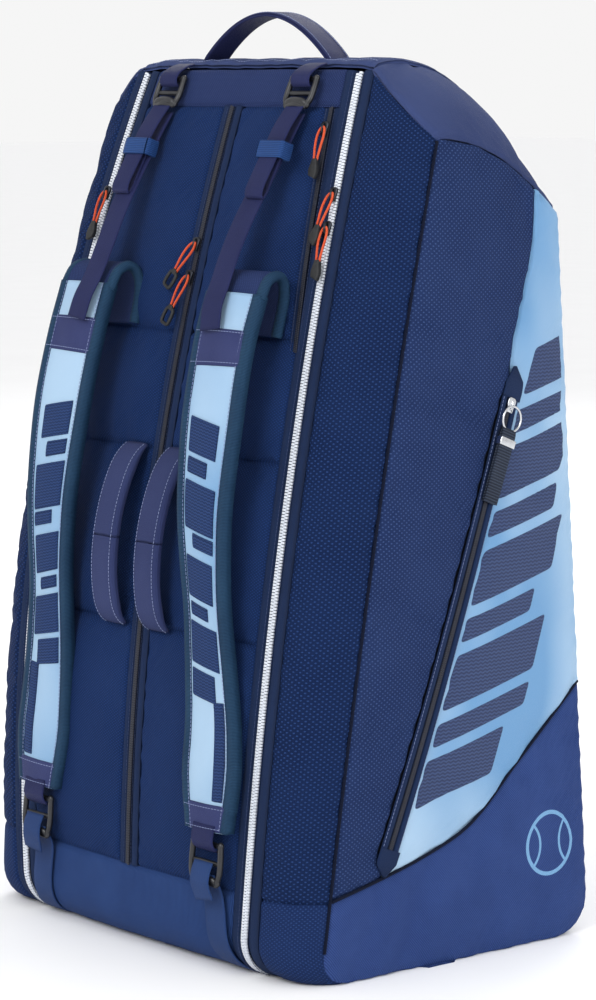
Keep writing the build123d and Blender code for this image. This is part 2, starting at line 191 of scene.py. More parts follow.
def sheet_quads(rows, cols):
    """Vertex numbers of a grid of points and its faces."""
    index = np.arange(rows * cols).reshape(rows, cols)
    quads = np.stack([index[:-1, :-1], index[1:, :-1], index[1:, 1:], index[:-1, 1:]], -1)
    return index, quads.reshape(-1, 4)


def tube_quads(rows, turns):
    """The same for rings of points, each ring closed."""
    index = np.arange(rows * turns).reshape(rows, turns)
    nxt = np.roll(index, -1, axis=1)
    return index, np.stack([index[:-1], nxt[:-1], nxt[1:], index[1:]], -1).reshape(-1, 4)


def length_along(path):
    return np.concatenate([[0], np.cumsum(np.linalg.norm(np.diff(path, axis=0), axis=1))])


def closed_grid(name, outer, inner, uv, material):
    """A thick cloth from two grids of points."""
    rows, cols = outer.shape[:2]
    index, quads = sheet_quads(rows, cols)
    n = np.cross(np.gradient(outer, axis=0), np.gradient(outer, axis=1))
    if (n * (outer - inner)).sum() < 0:
        quads = quads[:, ::-1]
    rim = np.concatenate([index[0, :], index[1:, -1], index[-1, -2::-1], index[-2:0:-1, 0]])
    nxt = np.roll(rim, -1)
    total = rows * cols
    wall = np.stack([rim, nxt, nxt + total, rim + total], -1)
    if (n * (outer - inner)).sum() > 0:
        wall = wall[:, ::-1]
    faces = np.concatenate([quads, quads[:, ::-1] + total, wall])
    points = np.concatenate([outer.reshape(-1, 3), inner.reshape(-1, 3)])
    return make(name, points, faces, np.concatenate([uv.reshape(-1, 2)] * 2), material)


SETTLED = {}  # how far each simulated cloth moved, so that left and right match
SHEETS = {}  # each panel's outer points and normals, for the stitching that lies on it


def settle(key, p, n, slack, cap):
    """How far a cloth sheet sewn down along its edges moves outwards when filled, by a cloth simulation."""
    if key not in SETTLED:
        rows, cols = p.shape[:2]
        index, quads = sheet_quads(rows, cols)
        test = np.cross(p[1, 0] - p[0, 0], p[0, 1] - p[0, 0]) @ n[0, 0]
        uneven = p + n * (0.0006 * ripple(p * 3.1, 0.03, 2.0))[..., None]
        sheet = make("settling", uneven.reshape(-1, 3), quads if test > 0 else quads[:, ::-1],
                     p.reshape(-1, 3)[:, :2], LINING)
        pins = sheet.vertex_groups.new(name="sewn")
        rim = np.concatenate([index[0], index[-1], index[:, 0], index[:, -1]])
        pins.add([int(i) for i in np.unique(rim)], 1.0, "REPLACE")
        cloth = sheet.modifiers.new("cloth", "CLOTH")
        cloth.settings.vertex_group_mass = "sewn"
        cloth.settings.quality = 4
        cloth.settings.mass = 0.25
        cloth.settings.tension_stiffness = cloth.settings.compression_stiffness = 12
        cloth.settings.shear_stiffness = 4
        cloth.settings.bending_stiffness = 0.35
        cloth.settings.shrink_min = -slack
        cloth.settings.use_pressure = True
        cloth.settings.uniform_pressure_force = 0.5
        cloth.settings.effector_weights.gravity = 0
        cloth.point_cache.frame_start, cloth.point_cache.frame_end = 1, 20
        scene = bpy.context.scene
        for step in range(1, 21):
            scene.frame_set(step)
        graph = bpy.context.evaluated_depsgraph_get()
        moved = np.zeros(rows * cols * 3)
        sheet.evaluated_get(graph).to_mesh().vertices.foreach_get("co", moved)
        away = ((moved.reshape(rows, cols, 3) - p) * n).sum(-1)
        SETTLED[key] = cap * np.tanh(away / cap)
        bpy.data.objects.remove(sheet)
        scene.frame_set(1)
    return SETTLED[key]


def panel(name, surface, size, material, tuck="lrbt", depth=0.0024, width=0.0055, puff=0.0022, wave=0.0007,
          thick=CLOTH, uv=None, step=0.007, raise_by=0.0, pucker=0.00035, slack=0.0, cap=0.005):
    """A sewn cloth panel.

    surface takes two grids of shares from 0 to 1. l and r are the edges where the first share is 0 and 1,
    b and t those where the second is. A tucked edge turns in to its seam.
    """
    s, t = np.meshgrid(fractions(size[0], step), fractions(size[1], step), indexing="ij")
    p = surface(s, t)
    n = grid_normals(p)
    along, up = run(p, 0), run(p, 1)
    edges = {"l": along, "r": along[-1:] - along, "b": up, "t": up[:, -1:] - up}
    inner = np.full(s.shape, 1.0)
    lift = np.zeros(s.shape)
    for key, d in edges.items():
        if key in tuck:
            lift -= depth * np.clip(1 - d / width, 0, 1) ** 2
            inner = np.minimum(inner, d)
            along_edge = up if key in "lr" else along
            pull = np.exp(-((d / 0.010) ** 2)) * (1 - np.exp(-((d / 0.003) ** 2)))
            lift += pucker * pull * np.sin(along_edge / 0.0021 + 3 * np.sin(along_edge / 0.017))
    if slack:
        key = (name.replace("left", "").replace("right", ""), p.shape)
        lift += settle(key, p, n, slack, cap)
        wave = 0.0003
    lift += puff * (1 - np.exp(-inner / 0.02)) + wave * ripple(p, 0.035, len(name)) + raise_by
    outer = p + n * lift[..., None]
    SHEETS[name] = outer, n
    coords = np.stack([along, up] if uv is None else uv(outer), -1)
    return closed_grid(name, outer, outer - n * thick, coords, material)


def smooth_path(points, step=0.003):
    """A Catmull-Rom curve through the points."""
    p = np.asarray(points, float)
    p = np.concatenate([[2 * p[0] - p[1]], p, [2 * p[-1] - p[-2]]])
    out = []
    for a, b, c, d in zip(p, p[1:], p[2:], p[3:]):
        n = max(2, int(np.linalg.norm(c - b) / step))
        t = np.linspace(0, 1, n, endpoint=False)[:, None]
        square, cube = 2 * a - 5 * b + 4 * c - d, 3 * b - a - 3 * c + d
        out.append(0.5 * (2 * b + (c - a) * t + square * t**2 + cube * t**3))
    return np.concatenate(out + [p[-2:-1]])


def frames(path, normals):
    """Tangent, side and normal at each point of a path that lies on a surface with the given normals."""
    tangent = unit(np.gradient(path, axis=0))
    normal = np.broadcast_to(np.asarray(normals, float), path.shape)
    normal = unit(normal - (normal * tangent).sum(-1, keepdims=True) * tangent)
    return tangent, np.cross(tangent, normal), normal


def sweep(name, path, normals, section, material, widen=None, thicken=None, caps=True):
    """A closed outline of (across, up) points carried along a path."""
    _, across, up = frames(path, normals)
    section = np.asarray(section, float)
    w = np.ones(len(path)) if widen is None else np.asarray(widen)
    h = np.ones(len(path)) if thicken is None else np.asarray(thicken)
    rings = path[:, None] + across[:, None] * (section[None, :, :1] * w[:, None, None])
    rings = rings + up[:, None] * (section[None, :, 1:] * h[:, None, None])
    index, quads = tube_quads(*rings.shape[:2])
    faces = quads.tolist()
    if caps:
        faces += [index[0, ::-1].tolist(), index[-1].tolist()]
    length = length_along(path)
    uv = np.stack(np.broadcast_arrays(length[:, None], section[None, :, 0]), -1).reshape(-1, 2)
    return make(name, rings.reshape(-1, 3), faces, uv, material)


def flat_section(width, thick, crown_by=0.0, n=9):
    """A flat band with rounded edges, lying on up = 0."""
    a = np.linspace(-0.5, 0.5, n)
    top = [(x * (width - thick), thick + crown_by * (1 - (2 * x) ** 2)) for x in a]
    low = [(x * (width - thick), 0) for x in a[::-1]]
    ends = [(width / 2, thick / 2)], [(-width / 2, thick / 2)]
    section = ends[1] + top + ends[0] + low
    return section[::-1]


def round_section(radius, n=10, squash=1.0):
    turns = [i * math.tau / n for i in range(n)]
    return [(radius * math.cos(a), radius * squash * math.sin(a)) for a in turns]


def repeated(name, path, normals, block, faces, pitch, material, offset=0.0, smooth=False):
    """Copies of one small block of (across, along, up) points, a pitch apart along a path."""
    length = length_along(path)
    at = np.arange(offset, length[-1], pitch)
    normal = np.broadcast_to(np.asarray(normals, float), path.shape)
    tangent, across, up = frames(path, normal)
    take = lambda a: np.stack([np.interp(at, length, a[:, k]) for k in range(3)], -1)
    c, t, a, u = take(path), unit(take(tangent)), unit(take(across)), unit(take(up))
    block = np.asarray(block, float)
    points = c[:, None] + a[:, None] * block[:, :1] + t[:, None] * block[:, 1:2] + u[:, None] * block[:, 2:]
    k = len(block)
    all_faces = [[i + j * k for i in f] for j in range(len(at)) for f in faces]
    return make(name, points.reshape(-1, 3), all_faces, points.reshape(-1, 3)[:, :2], material, smooth)


def prism(outline, low, high):
    """Points and faces of an outline of (across, up) points between two places along a path."""
    n = len(outline)
    block = [(a, low, u) for a, u in outline] + [(a, high, u) for a, u in outline]
    faces = [[i, (i + 1) % n, (i + 1) % n + n, i + n] for i in range(n)]
    return block, faces + [list(range(n))[::-1], list(range(n, 2 * n))]


def stitches(name, path, normals, material, body, slot, pitch=0.0034, length=0.0023, radius=0.00028):
    """A row of thread stitches that lie on the cloth."""
    outline = [(-radius, 0), (0, radius * 1.3), (radius, 0), (0, -radius)]
    block, faces = prism(outline, -length / 2, length / 2)
    return place(repeated(name, path, normals, block, faces, pitch, material, pitch / 2, True), body, slot)


def mirror(p, way):
    """Points on the left where way is -1."""
    return p * np.array([way, 1, 1])


# ---- materials -------------------------------------------------------------------------------
def colour(r, g, b):
    """A linear colour from display values of 0 to 255."""
    shares = [v / 255 for v in (r, g, b)]
    return tuple(v / 12.92 if v < 10 / 255 else ((v + 0.055) / 1.055) ** 2.4 for v in shares) + (1,)


class Finish:
    """A node material that is built up one step at a time."""

    def __init__(self, name, base, rough=0.8, metal=0.0, sheen=0.0, coat=0.0, gloss=0.5):
        self.mat = bpy.data.materials.new(name)
        self.mat.use_nodes = True
        self.tree = self.mat.node_tree
        self.bsdf = self.tree.nodes["Principled BSDF"]
        self.bsdf.inputs["Base Color"].default_value = colour(*base)
        self.bsdf.inputs["Roughness"].default_value = rough
        self.bsdf.inputs["Metallic"].default_value = metal
        self.bsdf.inputs["Sheen Weight"].default_value = sheen
        self.bsdf.inputs["Sheen Roughness"].default_value = 0.45
        self.bsdf.inputs["Coat Weight"].default_value = coat
        self.bsdf.inputs["Specular IOR Level"].default_value = gloss
        self.base = colour(*base)
        uv = self.tree.nodes.new("ShaderNodeUVMap")
        uv.uv_map = "cloth"
        split = self.tree.nodes.new("ShaderNodeSeparateXYZ")
        self.link(uv.outputs[0], split.inputs[0])
        self.u, self.v = split.outputs[0], split.outputs[1]

    def link(self, a, b):
        self.tree.links.new(a, b)

    def put(self, value, socket):
        if isinstance(value, (int, float)):
            socket.default_value = value
        else:
            self.link(value, socket)

    def math(self, op, a, b=0.0, c=0.0):
        node = self.tree.nodes.new("ShaderNodeMath")
        node.operation = op
        for value, socket in zip((a, b, c), node.inputs):
            self.put(value, socket)
        return node.outputs[0]

    def wave(self, coord, pitch, shift=0.0):
        """A smooth wave from -1 to 1 across a UV coordinate."""
        return self.math("SINE", self.math("MULTIPLY_ADD", coord, math.tau / pitch, shift))

    def noise(self, scale, detail=3.0, stretch=None):
        node = self.tree.nodes.new("ShaderNodeTexNoise")
        node.inputs["Scale"].default_value = scale
        node.inputs["Detail"].default_value = detail
        geo = self.tree.nodes.new("ShaderNodeTexCoord")
        if stretch:
            mapping = self.tree.nodes.new("ShaderNodeMapping")
            mapping.inputs["Scale"].default_value = stretch
            self.link(geo.outputs["Object"], mapping.inputs[0])
            self.link(mapping.outputs[0], node.inputs["Vector"])
        else:
            self.link(geo.outputs["Object"], node.inputs["Vector"])
        return node.outputs[0]

    def mix(self, share, a, b):
        """Colour a where share is 0 and b where it is 1."""
        node = self.tree.nodes.new("ShaderNodeMix")
        node.data_type = "RGBA"
        self.put(share, node.inputs[0])
        for value, socket in ((a, node.inputs[6]), (b, node.inputs[7])):
            if isinstance(value, tuple):
                socket.default_value = value if len(value) == 4 else colour(*value)
            else:
                self.link(value, socket)
        return node.outputs[2]

    def clamp(self, value, low, high):
        node = self.tree.nodes.new("ShaderNodeMapRange")
        self.put(value, node.inputs[0])
        node.inputs[1].default_value, node.inputs[2].default_value = low, high
        return node.outputs[0]

    def tint(self, value):
        self.link(value, self.bsdf.inputs["Base Color"])

    def bump(self, height, depth):
        node = self.tree.nodes.new("ShaderNodeBump")
        node.inputs["Distance"].default_value = depth
        self.link(height, node.inputs["Height"])
        self.link(node.outputs[0], self.bsdf.inputs["Normal"])


def dobby_cloth(name, ground, dot, pitch, row, depth=0.0005, rough=0.72, cut=(0.1, 0.7), mottle=0.16):
    """Cloth with small raised dashes in staggered rows."""
    f = Finish(name, ground, rough, sheen=0.0, gloss=0.07)
    product = f.math("MULTIPLY", f.wave(f.u, 2 * pitch), f.wave(f.v, 2 * row))
    dots = f.clamp(product, *cut)
    thread = f.math("MULTIPLY", f.wave(f.u, pitch / 4), f.wave(f.v, row / 4))
    haze = f.clamp(f.noise(18.0, 4.0), 0.35, 0.65)
    base = f.mix(f.math("MULTIPLY", haze, mottle), ground, dot)
    f.tint(f.mix(dots, base, dot))
    f.bump(f.math("MULTIPLY_ADD", thread, 0.2, dots), depth)
    return f.mat


def ribbed_cloth(name, ground, ridge, pitch, slant=0.0, depth=0.0004, rough=0.7, across=False):
    """Cloth with fine ribs. slant turns the ribs: 0 runs along the second UV direction."""
    f = Finish(name, ground, rough, sheen=0.0, gloss=0.09)
    line = f.math("MULTIPLY_ADD", f.v, slant, f.u) if not across else f.math("MULTIPLY_ADD", f.u, slant, f.v)
    rib = f.math("MULTIPLY_ADD", f.wave(line, pitch), 0.5, 0.5)
    cross_thread = f.wave(f.v if not across else f.u, pitch * 0.6)
    haze = f.clamp(f.noise(25.0, 4.0), 0.3, 0.7)
    shade = f.math("MULTIPLY_ADD", haze, 0.25, f.math("MULTIPLY", rib, 0.75))
    f.tint(f.mix(shade, ground, ridge))
    f.bump(f.math("MULTIPLY_ADD", cross_thread, 0.15, rib), depth)
    return f.mat


def woven_cloth(name, ground, light, pitch=0.0011, depth=0.00025, rough=0.75, sheen=0.02):
    """Plain weave, over and under."""
    f = Finish(name, ground, rough, sheen=sheen, gloss=0.08)
    weave = f.math("MULTIPLY", f.wave(f.u, pitch), f.wave(f.v, pitch))
    haze = f.clamp(f.noise(14.0, 5.0), 0.3, 0.7)
    shade = f.math("MULTIPLY_ADD", weave, 0.28, f.math("MULTIPLY_ADD", haze, 0.3, 0.3))
    f.tint(f.mix(shade, ground, light))
    f.bump(weave, depth)
    return f.mat


def satin_ground(name, deep, bright):
    """Light cloth with a soft gloss, paler in broad soft patches of painted sheen, with its weave and colour."""
    f = Finish(name, deep, SATIN_ROUGH, sheen=0.05, gloss=0.35)
    # painted sheen: broad stretched noise patches lighten the satin from its deep colour towards its sheen colour
    patch = f.clamp(f.noise(5.0, 2.0, (1.0, 1.6, 0.8)), 0.36, 0.62)
    weave = f.math("MULTIPLY", f.wave(f.u, 0.0014), f.wave(f.v, 0.0010))
    shade = f.math("MULTIPLY_ADD", weave, 0.10, f.math("MULTIPLY", patch, 0.85))
    return f, weave, f.mix(shade, deep, bright)


def satin_cloth(name, deep, bright):
    f, weave, ground = satin_ground(name, deep, bright)
    f.tint(ground)
    f.bump(weave, 0.00015)
    return f.mat


def printed_bars(f, slope, start, bars, tilt, limit):
    """Where a row of leaning bars is printed, 0 or 1.

    Each bar is (low, high, left, right) beside a slanting line.
    """
    beside = f.math("SUBTRACT", f.u, f.math("MULTIPLY_ADD", f.v, slope, start))
    level = f.math("MULTIPLY_ADD", beside, -tilt, f.v)
    inside = f.math("SUBTRACT", limit, f.u)
    total = 0.0
    for low, high, left, right in bars:
        tall = f.math("SMOOTH_MIN", f.math("SUBTRACT", level, low), f.math("SUBTRACT", high, level), 0.006)
        wide = f.math("SMOOTH_MIN", f.math("SUBTRACT", beside, left), f.math("SUBTRACT", right, beside),
                      0.006)
        depth = f.math("MINIMUM", f.math("SMOOTH_MIN", tall, wide, 0.006), inside)
        total = f.math("MAXIMUM", total, f.clamp(depth, 0.0, 0.0004))
    return total


def side_satin(name, deep, bright, ink, ink_light):
    """The side's light cloth, printed with leaning bars that are filled with fine wavy lines."""
    # the satin ground carries painted sheen in broad paler patches
    f, weave, ground = satin_ground(name, deep, bright)
    bars = [(0.136, 0.176, 0.014, 0.092), (0.186, 0.206, 0.014, 0.110), (0.216, 0.262, 0.014, 0.110),
            (0.272, 0.292, 0.014, 0.088), (0.302, 0.348, 0.014, 0.104), (0.358, 0.380, 0.014, 0.088),
            (0.390, 0.434, 0.014, 0.088), (0.444, 0.464, 0.014, 0.076), (0.476, 0.516, 0.016, 0.070)]
    mask = printed_bars(f, 0.3829, -0.1107, bars, 0.26, 0.1400)
    line = f.math("MULTIPLY_ADD", f.wave(f.u, 0.0052), 0.0005, f.v)
    lines = f.math("MULTIPLY_ADD", f.wave(line, 0.0031), 0.5, 0.5)
    printed = f.mix(f.math("MULTIPLY", lines, 0.55), ink, ink_light)
    f.tint(f.mix(mask, ground, printed))
    f.put(f.math("MULTIPLY_ADD", mask, 0.25, SATIN_ROUGH), f.bsdf.inputs["Roughness"])
    f.bump(f.math("MULTIPLY_ADD", f.math("MULTIPLY", lines, mask), 2.0, f.math("MULTIPLY", weave, 0.6)),
           0.0002)
    return f.mat


def distance(f, u, v):
    across, up = f.math("SUBTRACT", f.u, u), f.math("SUBTRACT", f.v, v)
    return f.math("SQRT", f.math("ADD", f.math("MULTIPLY", across, across), f.math("MULTIPLY", up, up)))


def circle(f, u, v, radius, line):
    """A drawn circle about a UV point, 0 or 1."""
    off = f.math("ABSOLUTE", f.math("SUBTRACT", distance(f, u, v), radius))
    return f.clamp(f.math("SUBTRACT", line, off), 0.0, 0.0005)


def low_side(name, ground, ridge, light):
    """The lower side cloth: fine slanting ribs, and a plain ball drawn in light lines."""
    f = Finish(name, ground, 0.7, gloss=0.09)
    slanting = f.math("MULTIPLY_ADD", f.v, 0.8, f.u)
    rib = f.math("MULTIPLY_ADD", f.wave(slanting, 0.0020), 0.5, 0.5)
    haze = f.clamp(f.noise(25.0, 4.0), 0.3, 0.7)
    cloth = f.mix(f.math("MULTIPLY_ADD", haze, 0.25, f.math("MULTIPLY", rib, 0.75)), ground, ridge)
    u, v, size = 0.112, 0.088, 0.027
    ball = f.clamp(f.math("SUBTRACT", size, distance(f, u, v)), 0.0, 0.0005)
    seams = f.math("MAXIMUM", circle(f, u - 0.036, v, 0.0245, 0.0015),
                   circle(f, u + 0.036, v, 0.0245, 0.0015))
    mask = f.math("MAXIMUM", circle(f, u, v, size, 0.0020), f.math("MULTIPLY", seams, ball))
    f.tint(f.mix(mask, cloth, light))
    f.bump(rib, 0.0004)
    return f.mat


def mesh_cloth(name, ground, light, pitch=0.0032, rough=0.6):
    """Spacer mesh: rows of small oval holes with wavy lines between them."""
    f = Finish(name, ground, rough, sheen=0.0, gloss=0.09)
    ripple_line = f.math("MULTIPLY_ADD", f.wave(f.u, pitch * 1.6), pitch * 0.16, f.v)
    lines = f.math("MULTIPLY_ADD", f.wave(ripple_line, pitch), 0.5, 0.5)
    holes = f.clamp(f.math("MULTIPLY", f.wave(f.u, pitch * 0.8), f.wave(f.v, pitch)), -0.2, 0.8)
    f.tint(f.mix(f.math("MULTIPLY", lines, 0.8), ground, light))
    f.bump(f.math("SUBTRACT", lines, f.math("MULTIPLY", holes, 0.5)), 0.0006)
    return f.mat


def hard(name, base, rough, metal=0.0, coat=0.0, wear=0.08, scale=220.0):
    """Moulded plastic, rubber or metal with fine uneven roughness."""
    f = Finish(name, base, rough, metal, coat=coat)
    grain = f.noise(scale, 5.0)
    f.link(f.math("MULTIPLY_ADD", grain, wear * 2, rough - wear), f.bsdf.inputs["Roughness"])
    lighter = tuple(min(255, c + 14) for c in base)
    f.tint(f.mix(f.clamp(grain, 0.4, 0.7), base, lighter))
    f.bump(grain, 0.00008)
    return f.mat


def braided_cord(name, base, light):
    f = Finish(name, base, 0.6, sheen=0.05, gloss=0.2)
    coords = f.tree.nodes.new("ShaderNodeTexCoord")
    split = f.tree.nodes.new("ShaderNodeSeparateXYZ")
    f.link(coords.outputs["Object"], split.inputs[0])
    a = f.math("ADD", split.outputs[2], split.outputs[0])
    b = f.math("SUBTRACT", split.outputs[2], split.outputs[0])
    weave = f.math("MULTIPLY", f.wave(a, 0.0014), f.wave(b, 0.0014))
    f.tint(f.mix(f.clamp(weave, -0.6, 0.6), base, light))
    f.bump(weave, 0.0002)
    return f.mat


FRONT_CLOTH = dobby_cloth("front_cloth", (22, 42, 84), (38, 64, 116), 0.0016, 0.0013)
GUSSET_CLOTH = dobby_cloth("gusset_cloth", (15, 32, 68), (38, 62, 110), 0.0030, 0.0021, cut=(0.3, 0.75),
                           mottle=0.08)
SIDE_CLOTH = dobby_cloth("side_cloth", (30, 46, 86), (62, 82, 128), 0.0026, 0.0020, cut=(0.35, 0.85),
                         mottle=0.10)
LOW_SIDE_CLOTH = low_side("low_side_cloth", (34, 52, 100), (56, 78, 134), (118, 162, 202))
YOKE_CLOTH = ribbed_cloth("yoke_cloth", (27, 46, 90), (48, 76, 130), 0.0015, 0.0, depth=0.0005)
FOOT_CLOTH = dobby_cloth("foot_cloth", (24, 42, 84), (44, 68, 116), 0.0022, 0.0017, cut=(0.2, 0.8),
                         mottle=0.1)
TOP_YOKE_CLOTH = dobby_cloth("top_yoke_cloth", (38, 50, 92), (60, 78, 126), 0.0013, 0.0011)
TOP_CLOTH = woven_cloth("top_cloth", (46, 58, 100), (70, 84, 130))
BACK_CLOTH = mesh_cloth("back_mesh", (24, 38, 70), (50, 68, 108))
# the second colour of each satin is its painted sheen, shown in broad soft patches
SIDE_SATIN = side_satin("side_satin", (98, 146, 190), (170, 198, 222), (30, 44, 80), (66, 86, 130))
SATIN = satin_cloth("satin", (98, 146, 190), (170, 198, 222))
STRAP_MESH = mesh_cloth("strap_mesh", (26, 44, 82), (48, 70, 116), 0.0026)
WEB = ribbed_cloth("webbing", (26, 30, 66), (48, 54, 98), 0.0013, 1.1, rough=0.5, across=True)
BAND = ribbed_cloth("band", (40, 46, 88), (68, 76, 122), 0.0013, 1.1, rough=0.5, across=True)
LOW_WEB = ribbed_cloth("lower_webbing", (26, 46, 88), (50, 76, 128), 0.0013, 1.1, rough=0.5, across=True)
BINDING = ribbed_cloth("binding", (20, 40, 66), (44, 76, 104), 0.0012, 0.0, depth=0.0004, rough=0.55)
PIPING = woven_cloth("piping", (10, 16, 34), (20, 28, 52), 0.0009)
TAPE_CLOTH = woven_cloth("zip_tape", (22, 38, 72), (38, 58, 98), 0.0007)
GRIP_CLOTH = woven_cloth("grip_cloth", (44, 52, 92), (66, 76, 120), 0.0009)
ELASTIC = ribbed_cloth("elastic", (24, 50, 98), (46, 78, 132), 0.0016, rough=0.5, across=True)
RIB_LOOP = ribbed_cloth("ribbed_loop", (22, 28, 40), (58, 66, 82), 0.0024, rough=0.5, depth=0.0006)
LINING = woven_cloth("lining", (28, 32, 42), (52, 58, 70), 0.0016)
WHITE = hard("white_plastic", (206, 211, 220), 0.32, coat=0.3, wear=0.05)
COIL = hard("dark_coil", (12, 17, 34), 0.5, coat=0.05)
BLACK = hard("black_plastic", (15, 16, 21), 0.36, coat=0.12, wear=0.05)
RUBBER = hard("rubber", (15, 16, 19), 0.62, wear=0.06, scale=400.0)
DARK_METAL = hard("dark_metal", (52, 54, 60), 0.3, 1.0)
SILVER = hard("silver", (196, 198, 202), 0.22, 1.0)
CORD = braided_cord("cord", (196, 62, 34), (232, 104, 62))
THREAD = hard("thread", (120, 132, 172), 0.7)
DARK_THREAD = hard("dark_thread", (36, 50, 88), 0.7)


# ---- centre compartment ----------------------------------------------------------------------
def front_panel(name, way, v0, v1, x_in, x_out, material, nodes=(), slot="textured_cloth", **extra):
    """A panel of the front between two lines x_in(z) and x_out(z) and two heights along the profile."""

    def surface(s, t):
        v = v0 + (v1 - v0) * t
        z, _ = roll(v, FRONT_RADIUS)
        return mirror(front(x_in(z) + (x_out(z) - x_in(z)) * s, v), way)

    width = float(abs(x_out((v0 + v1) / 2) - x_in((v0 + v1) / 2)))
    return place(panel(name, surface, (width, v1 - v0), material, **extra), "root", slot, *nodes)


def pocket_line(z):
    return 0.120 + (0.719 - z) * (0.143 - 0.120) / (0.719 - 0.512)


def front_panels():
    bands = [("lower", SEAM_BASE, SEAM_GRIP), ("grip", SEAM_GRIP, SEAM_STRAP),
             ("strap", SEAM_STRAP, SEAM_ROOT)]
    inner = lambda z: COIL_FACING + 0 * z
    outer = lambda z: zip_x(z) - FACING
    for name, v0, v1 in bands:
        for tag, way in SIDES:
            front_panel(f"{tag}_{name}_front", way, v0, v1, inner, outer, FRONT_CLOTH,
                        [f"{name}_front_panels"], slack=0.012)
    front_panel("left_upper_front", -1, SEAM_ROOT, SEAM_TOP, inner, outer, FRONT_CLOTH,
                ["upper_front_panels"], slack=0.014)
    mouth = lambda z: pocket_line(z) - 0.0085 + 0 * z
    front_panel("right_upper_front", 1, SEAM_ROOT, SEAM_TOP, inner, mouth, FRONT_CLOTH,
                ["upper_front_panels"], slack=0.014)
    beyond = lambda z: np.minimum(pocket_line(z) + 0.0085, zip_x(z) - FACING - 0.002)
    front_panel("right_upper_edge", 1, SEAM_ROOT + 0.03, SEAM_TOP, beyond, outer, FRONT_CLOTH,
                ["upper_front_panels"])
    full = lambda sign: (lambda z: sign * (zip_x(z) - FACING))
    front_panel("base_yoke", 1, -0.062, SEAM_BASE, full(-1), full(1), YOKE_CLOTH, ["bottom_yoke"],
                puff=0.0016)
    front_panel("top_yoke", 1, SEAM_TOP, 0.757, full(-1), full(1), TOP_YOKE_CLOTH, ["top_yoke"], puff=0.0012)
    front_panel("front_backing", 1, -0.05, 0.752, lambda z: -zip_x(z), lambda z: zip_x(z), LINING, tuck="",
                slot="lining", raise_by=-0.0045, puff=0.0, wave=0.0, thick=0.001, step=0.02)


def top_panel():
    """Plain cloth from the front of the ridge over it and down the back, with a topstitched edge."""

    def surface(s, t):
        y = front_y(0.757) + 0.003 + (BACK_TOP_Y - front_y(0.757) - 0.003) * t
        x = (2 * s - 1) * 0.152
        end = np.clip((np.abs(x) - 0.11) / 0.042, 0, 1) ** 2
        return np.stack([x, y, ridge_z(y) - 0.003 * end], -1)

    piece = panel("top_cloth", surface, (0.304, 0.185), TOP_CLOTH, tuck="bt", puff=0.002, slack=0.012,
                  cap=0.003)
    place(piece, "root", "plain_cloth", "top_panel")
    for tag, inset in (("front", 0.0085), ("back", -0.0110)):
        row_on("top_cloth", f"top_{tag}_stitch", inset)


def row_on(sheet, name, inset):
    """A row of stitches across a panel, in from its lower edge, or from the upper one if inset is below 0."""
    outer, n = SHEETS[sheet]
    up = run(outer, 1)[len(outer) // 2]
    at = inset if inset > 0 else up[-1] + inset
    k = int(np.clip(np.searchsorted(up, at), 1, len(up) - 1))
    share = (at - up[k - 1]) / (up[k] - up[k - 1])
    path = outer[:, k - 1] + (outer[:, k] - outer[:, k - 1]) * share + n[:, k] * 0.0003
    stitches(name, path[3:-3], n[3:-3, k], THREAD, "root", "plain_cloth")


def back_panel():
    """The back, in three sewn fields, and its rounded bottom edge."""

    def half(z):
        shoulder = 0.150 + (0.688 - z) / 0.054 * (back_x(0.634) - 0.150)
        return np.minimum(back_x(z) - 0.0085, shoulder + 0.001)

    def surface_between(v0, v1):
        def surface(s, t):
            v = v0 + (v1 - v0) * t
            z, back = roll(v, BACK_RADIUS)
            x = half(z) * (2 * s - 1)
            bulge = 0.004 * (1 - (x / half(z)) ** 2)
            return np.stack([x, back_y(z) - back + bulge, z], -1)

        return surface

    for name, v0, v1, cloth in (("low", -0.055, 0.10, YOKE_CLOTH), ("main", 0.10, 0.56, BACK_CLOTH),
                                ("high", 0.56, 0.688, TOP_YOKE_CLOTH)):
        size = (0.44, v1 - v0)
        piece = panel(f"back_{name}", surface_between(v0, v1), size, cloth, puff=0.003, slack=0.012)
        place(piece, "root", "textured_cloth", "back_panel")


def back_seams():
    """The bound seams that the covers turn about, from the bottom to the shoulders."""
    for tag, way in SIDES:
        z = np.linspace(0.040, 0.631, 60)
        path = np.stack([back_x(z) - 0.0062, back_y(z) + 0.0002, z], -1)
        normal = np.array([0.5, 0.85, 0.0])
        outline = [(0.0050 * a, 0.0017 * b) for a, b in soft_rectangle(0.7, 20)]
        piece = sweep(f"{tag}_back_seam", mirror(path, way), mirror(normal, way), outline, TAPE_CLOTH)
        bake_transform(piece)


def base_panel():
    def surface(s, t):
        x = (2 * s - 1) * (zip_x(0) - 0.007)
        return np.stack([x, -0.105 + 0.232 * t, 0.0022 + 0.0015 * (1 - (2 * s - 1) ** 2)], -1)

    piece = panel("base", surface, (0.28, 0.232), YOKE_CLOTH, tuck="lr", puff=0.0, wave=0.0003, depth=0.001)
    place(piece, "root", "textured_cloth", "base_panel")


def dividers():
    """The padded walls of the racket compartments, quilted in broad channels."""
    for tag, way in SIDES:

        def surface(s, t):
            z = 0.012 + (0.735 - 0.012) * t
            low = front_y(z) + 0.008 + np.maximum(0.030 - z, 0)
            top = np.minimum(back_y(z), RIDGE_Y + np.sqrt(np.maximum(RIDGE_Z - 0.006 - z, 0) / 4.1))
            y = low + (top - 0.006 - low) * s
            x = zip_x(z) - 0.0165 + 0.0012 * np.abs(np.sin(z * math.pi / 0.06))
            return mirror(np.stack([x, y, z], -1), way)

        piece = panel(f"{tag}_divider", surface, (0.27, 0.72), LINING, puff=0.0005, wave=0.0006, depth=0.001)
        place(piece, "root", "lining", f"{tag}_divider")


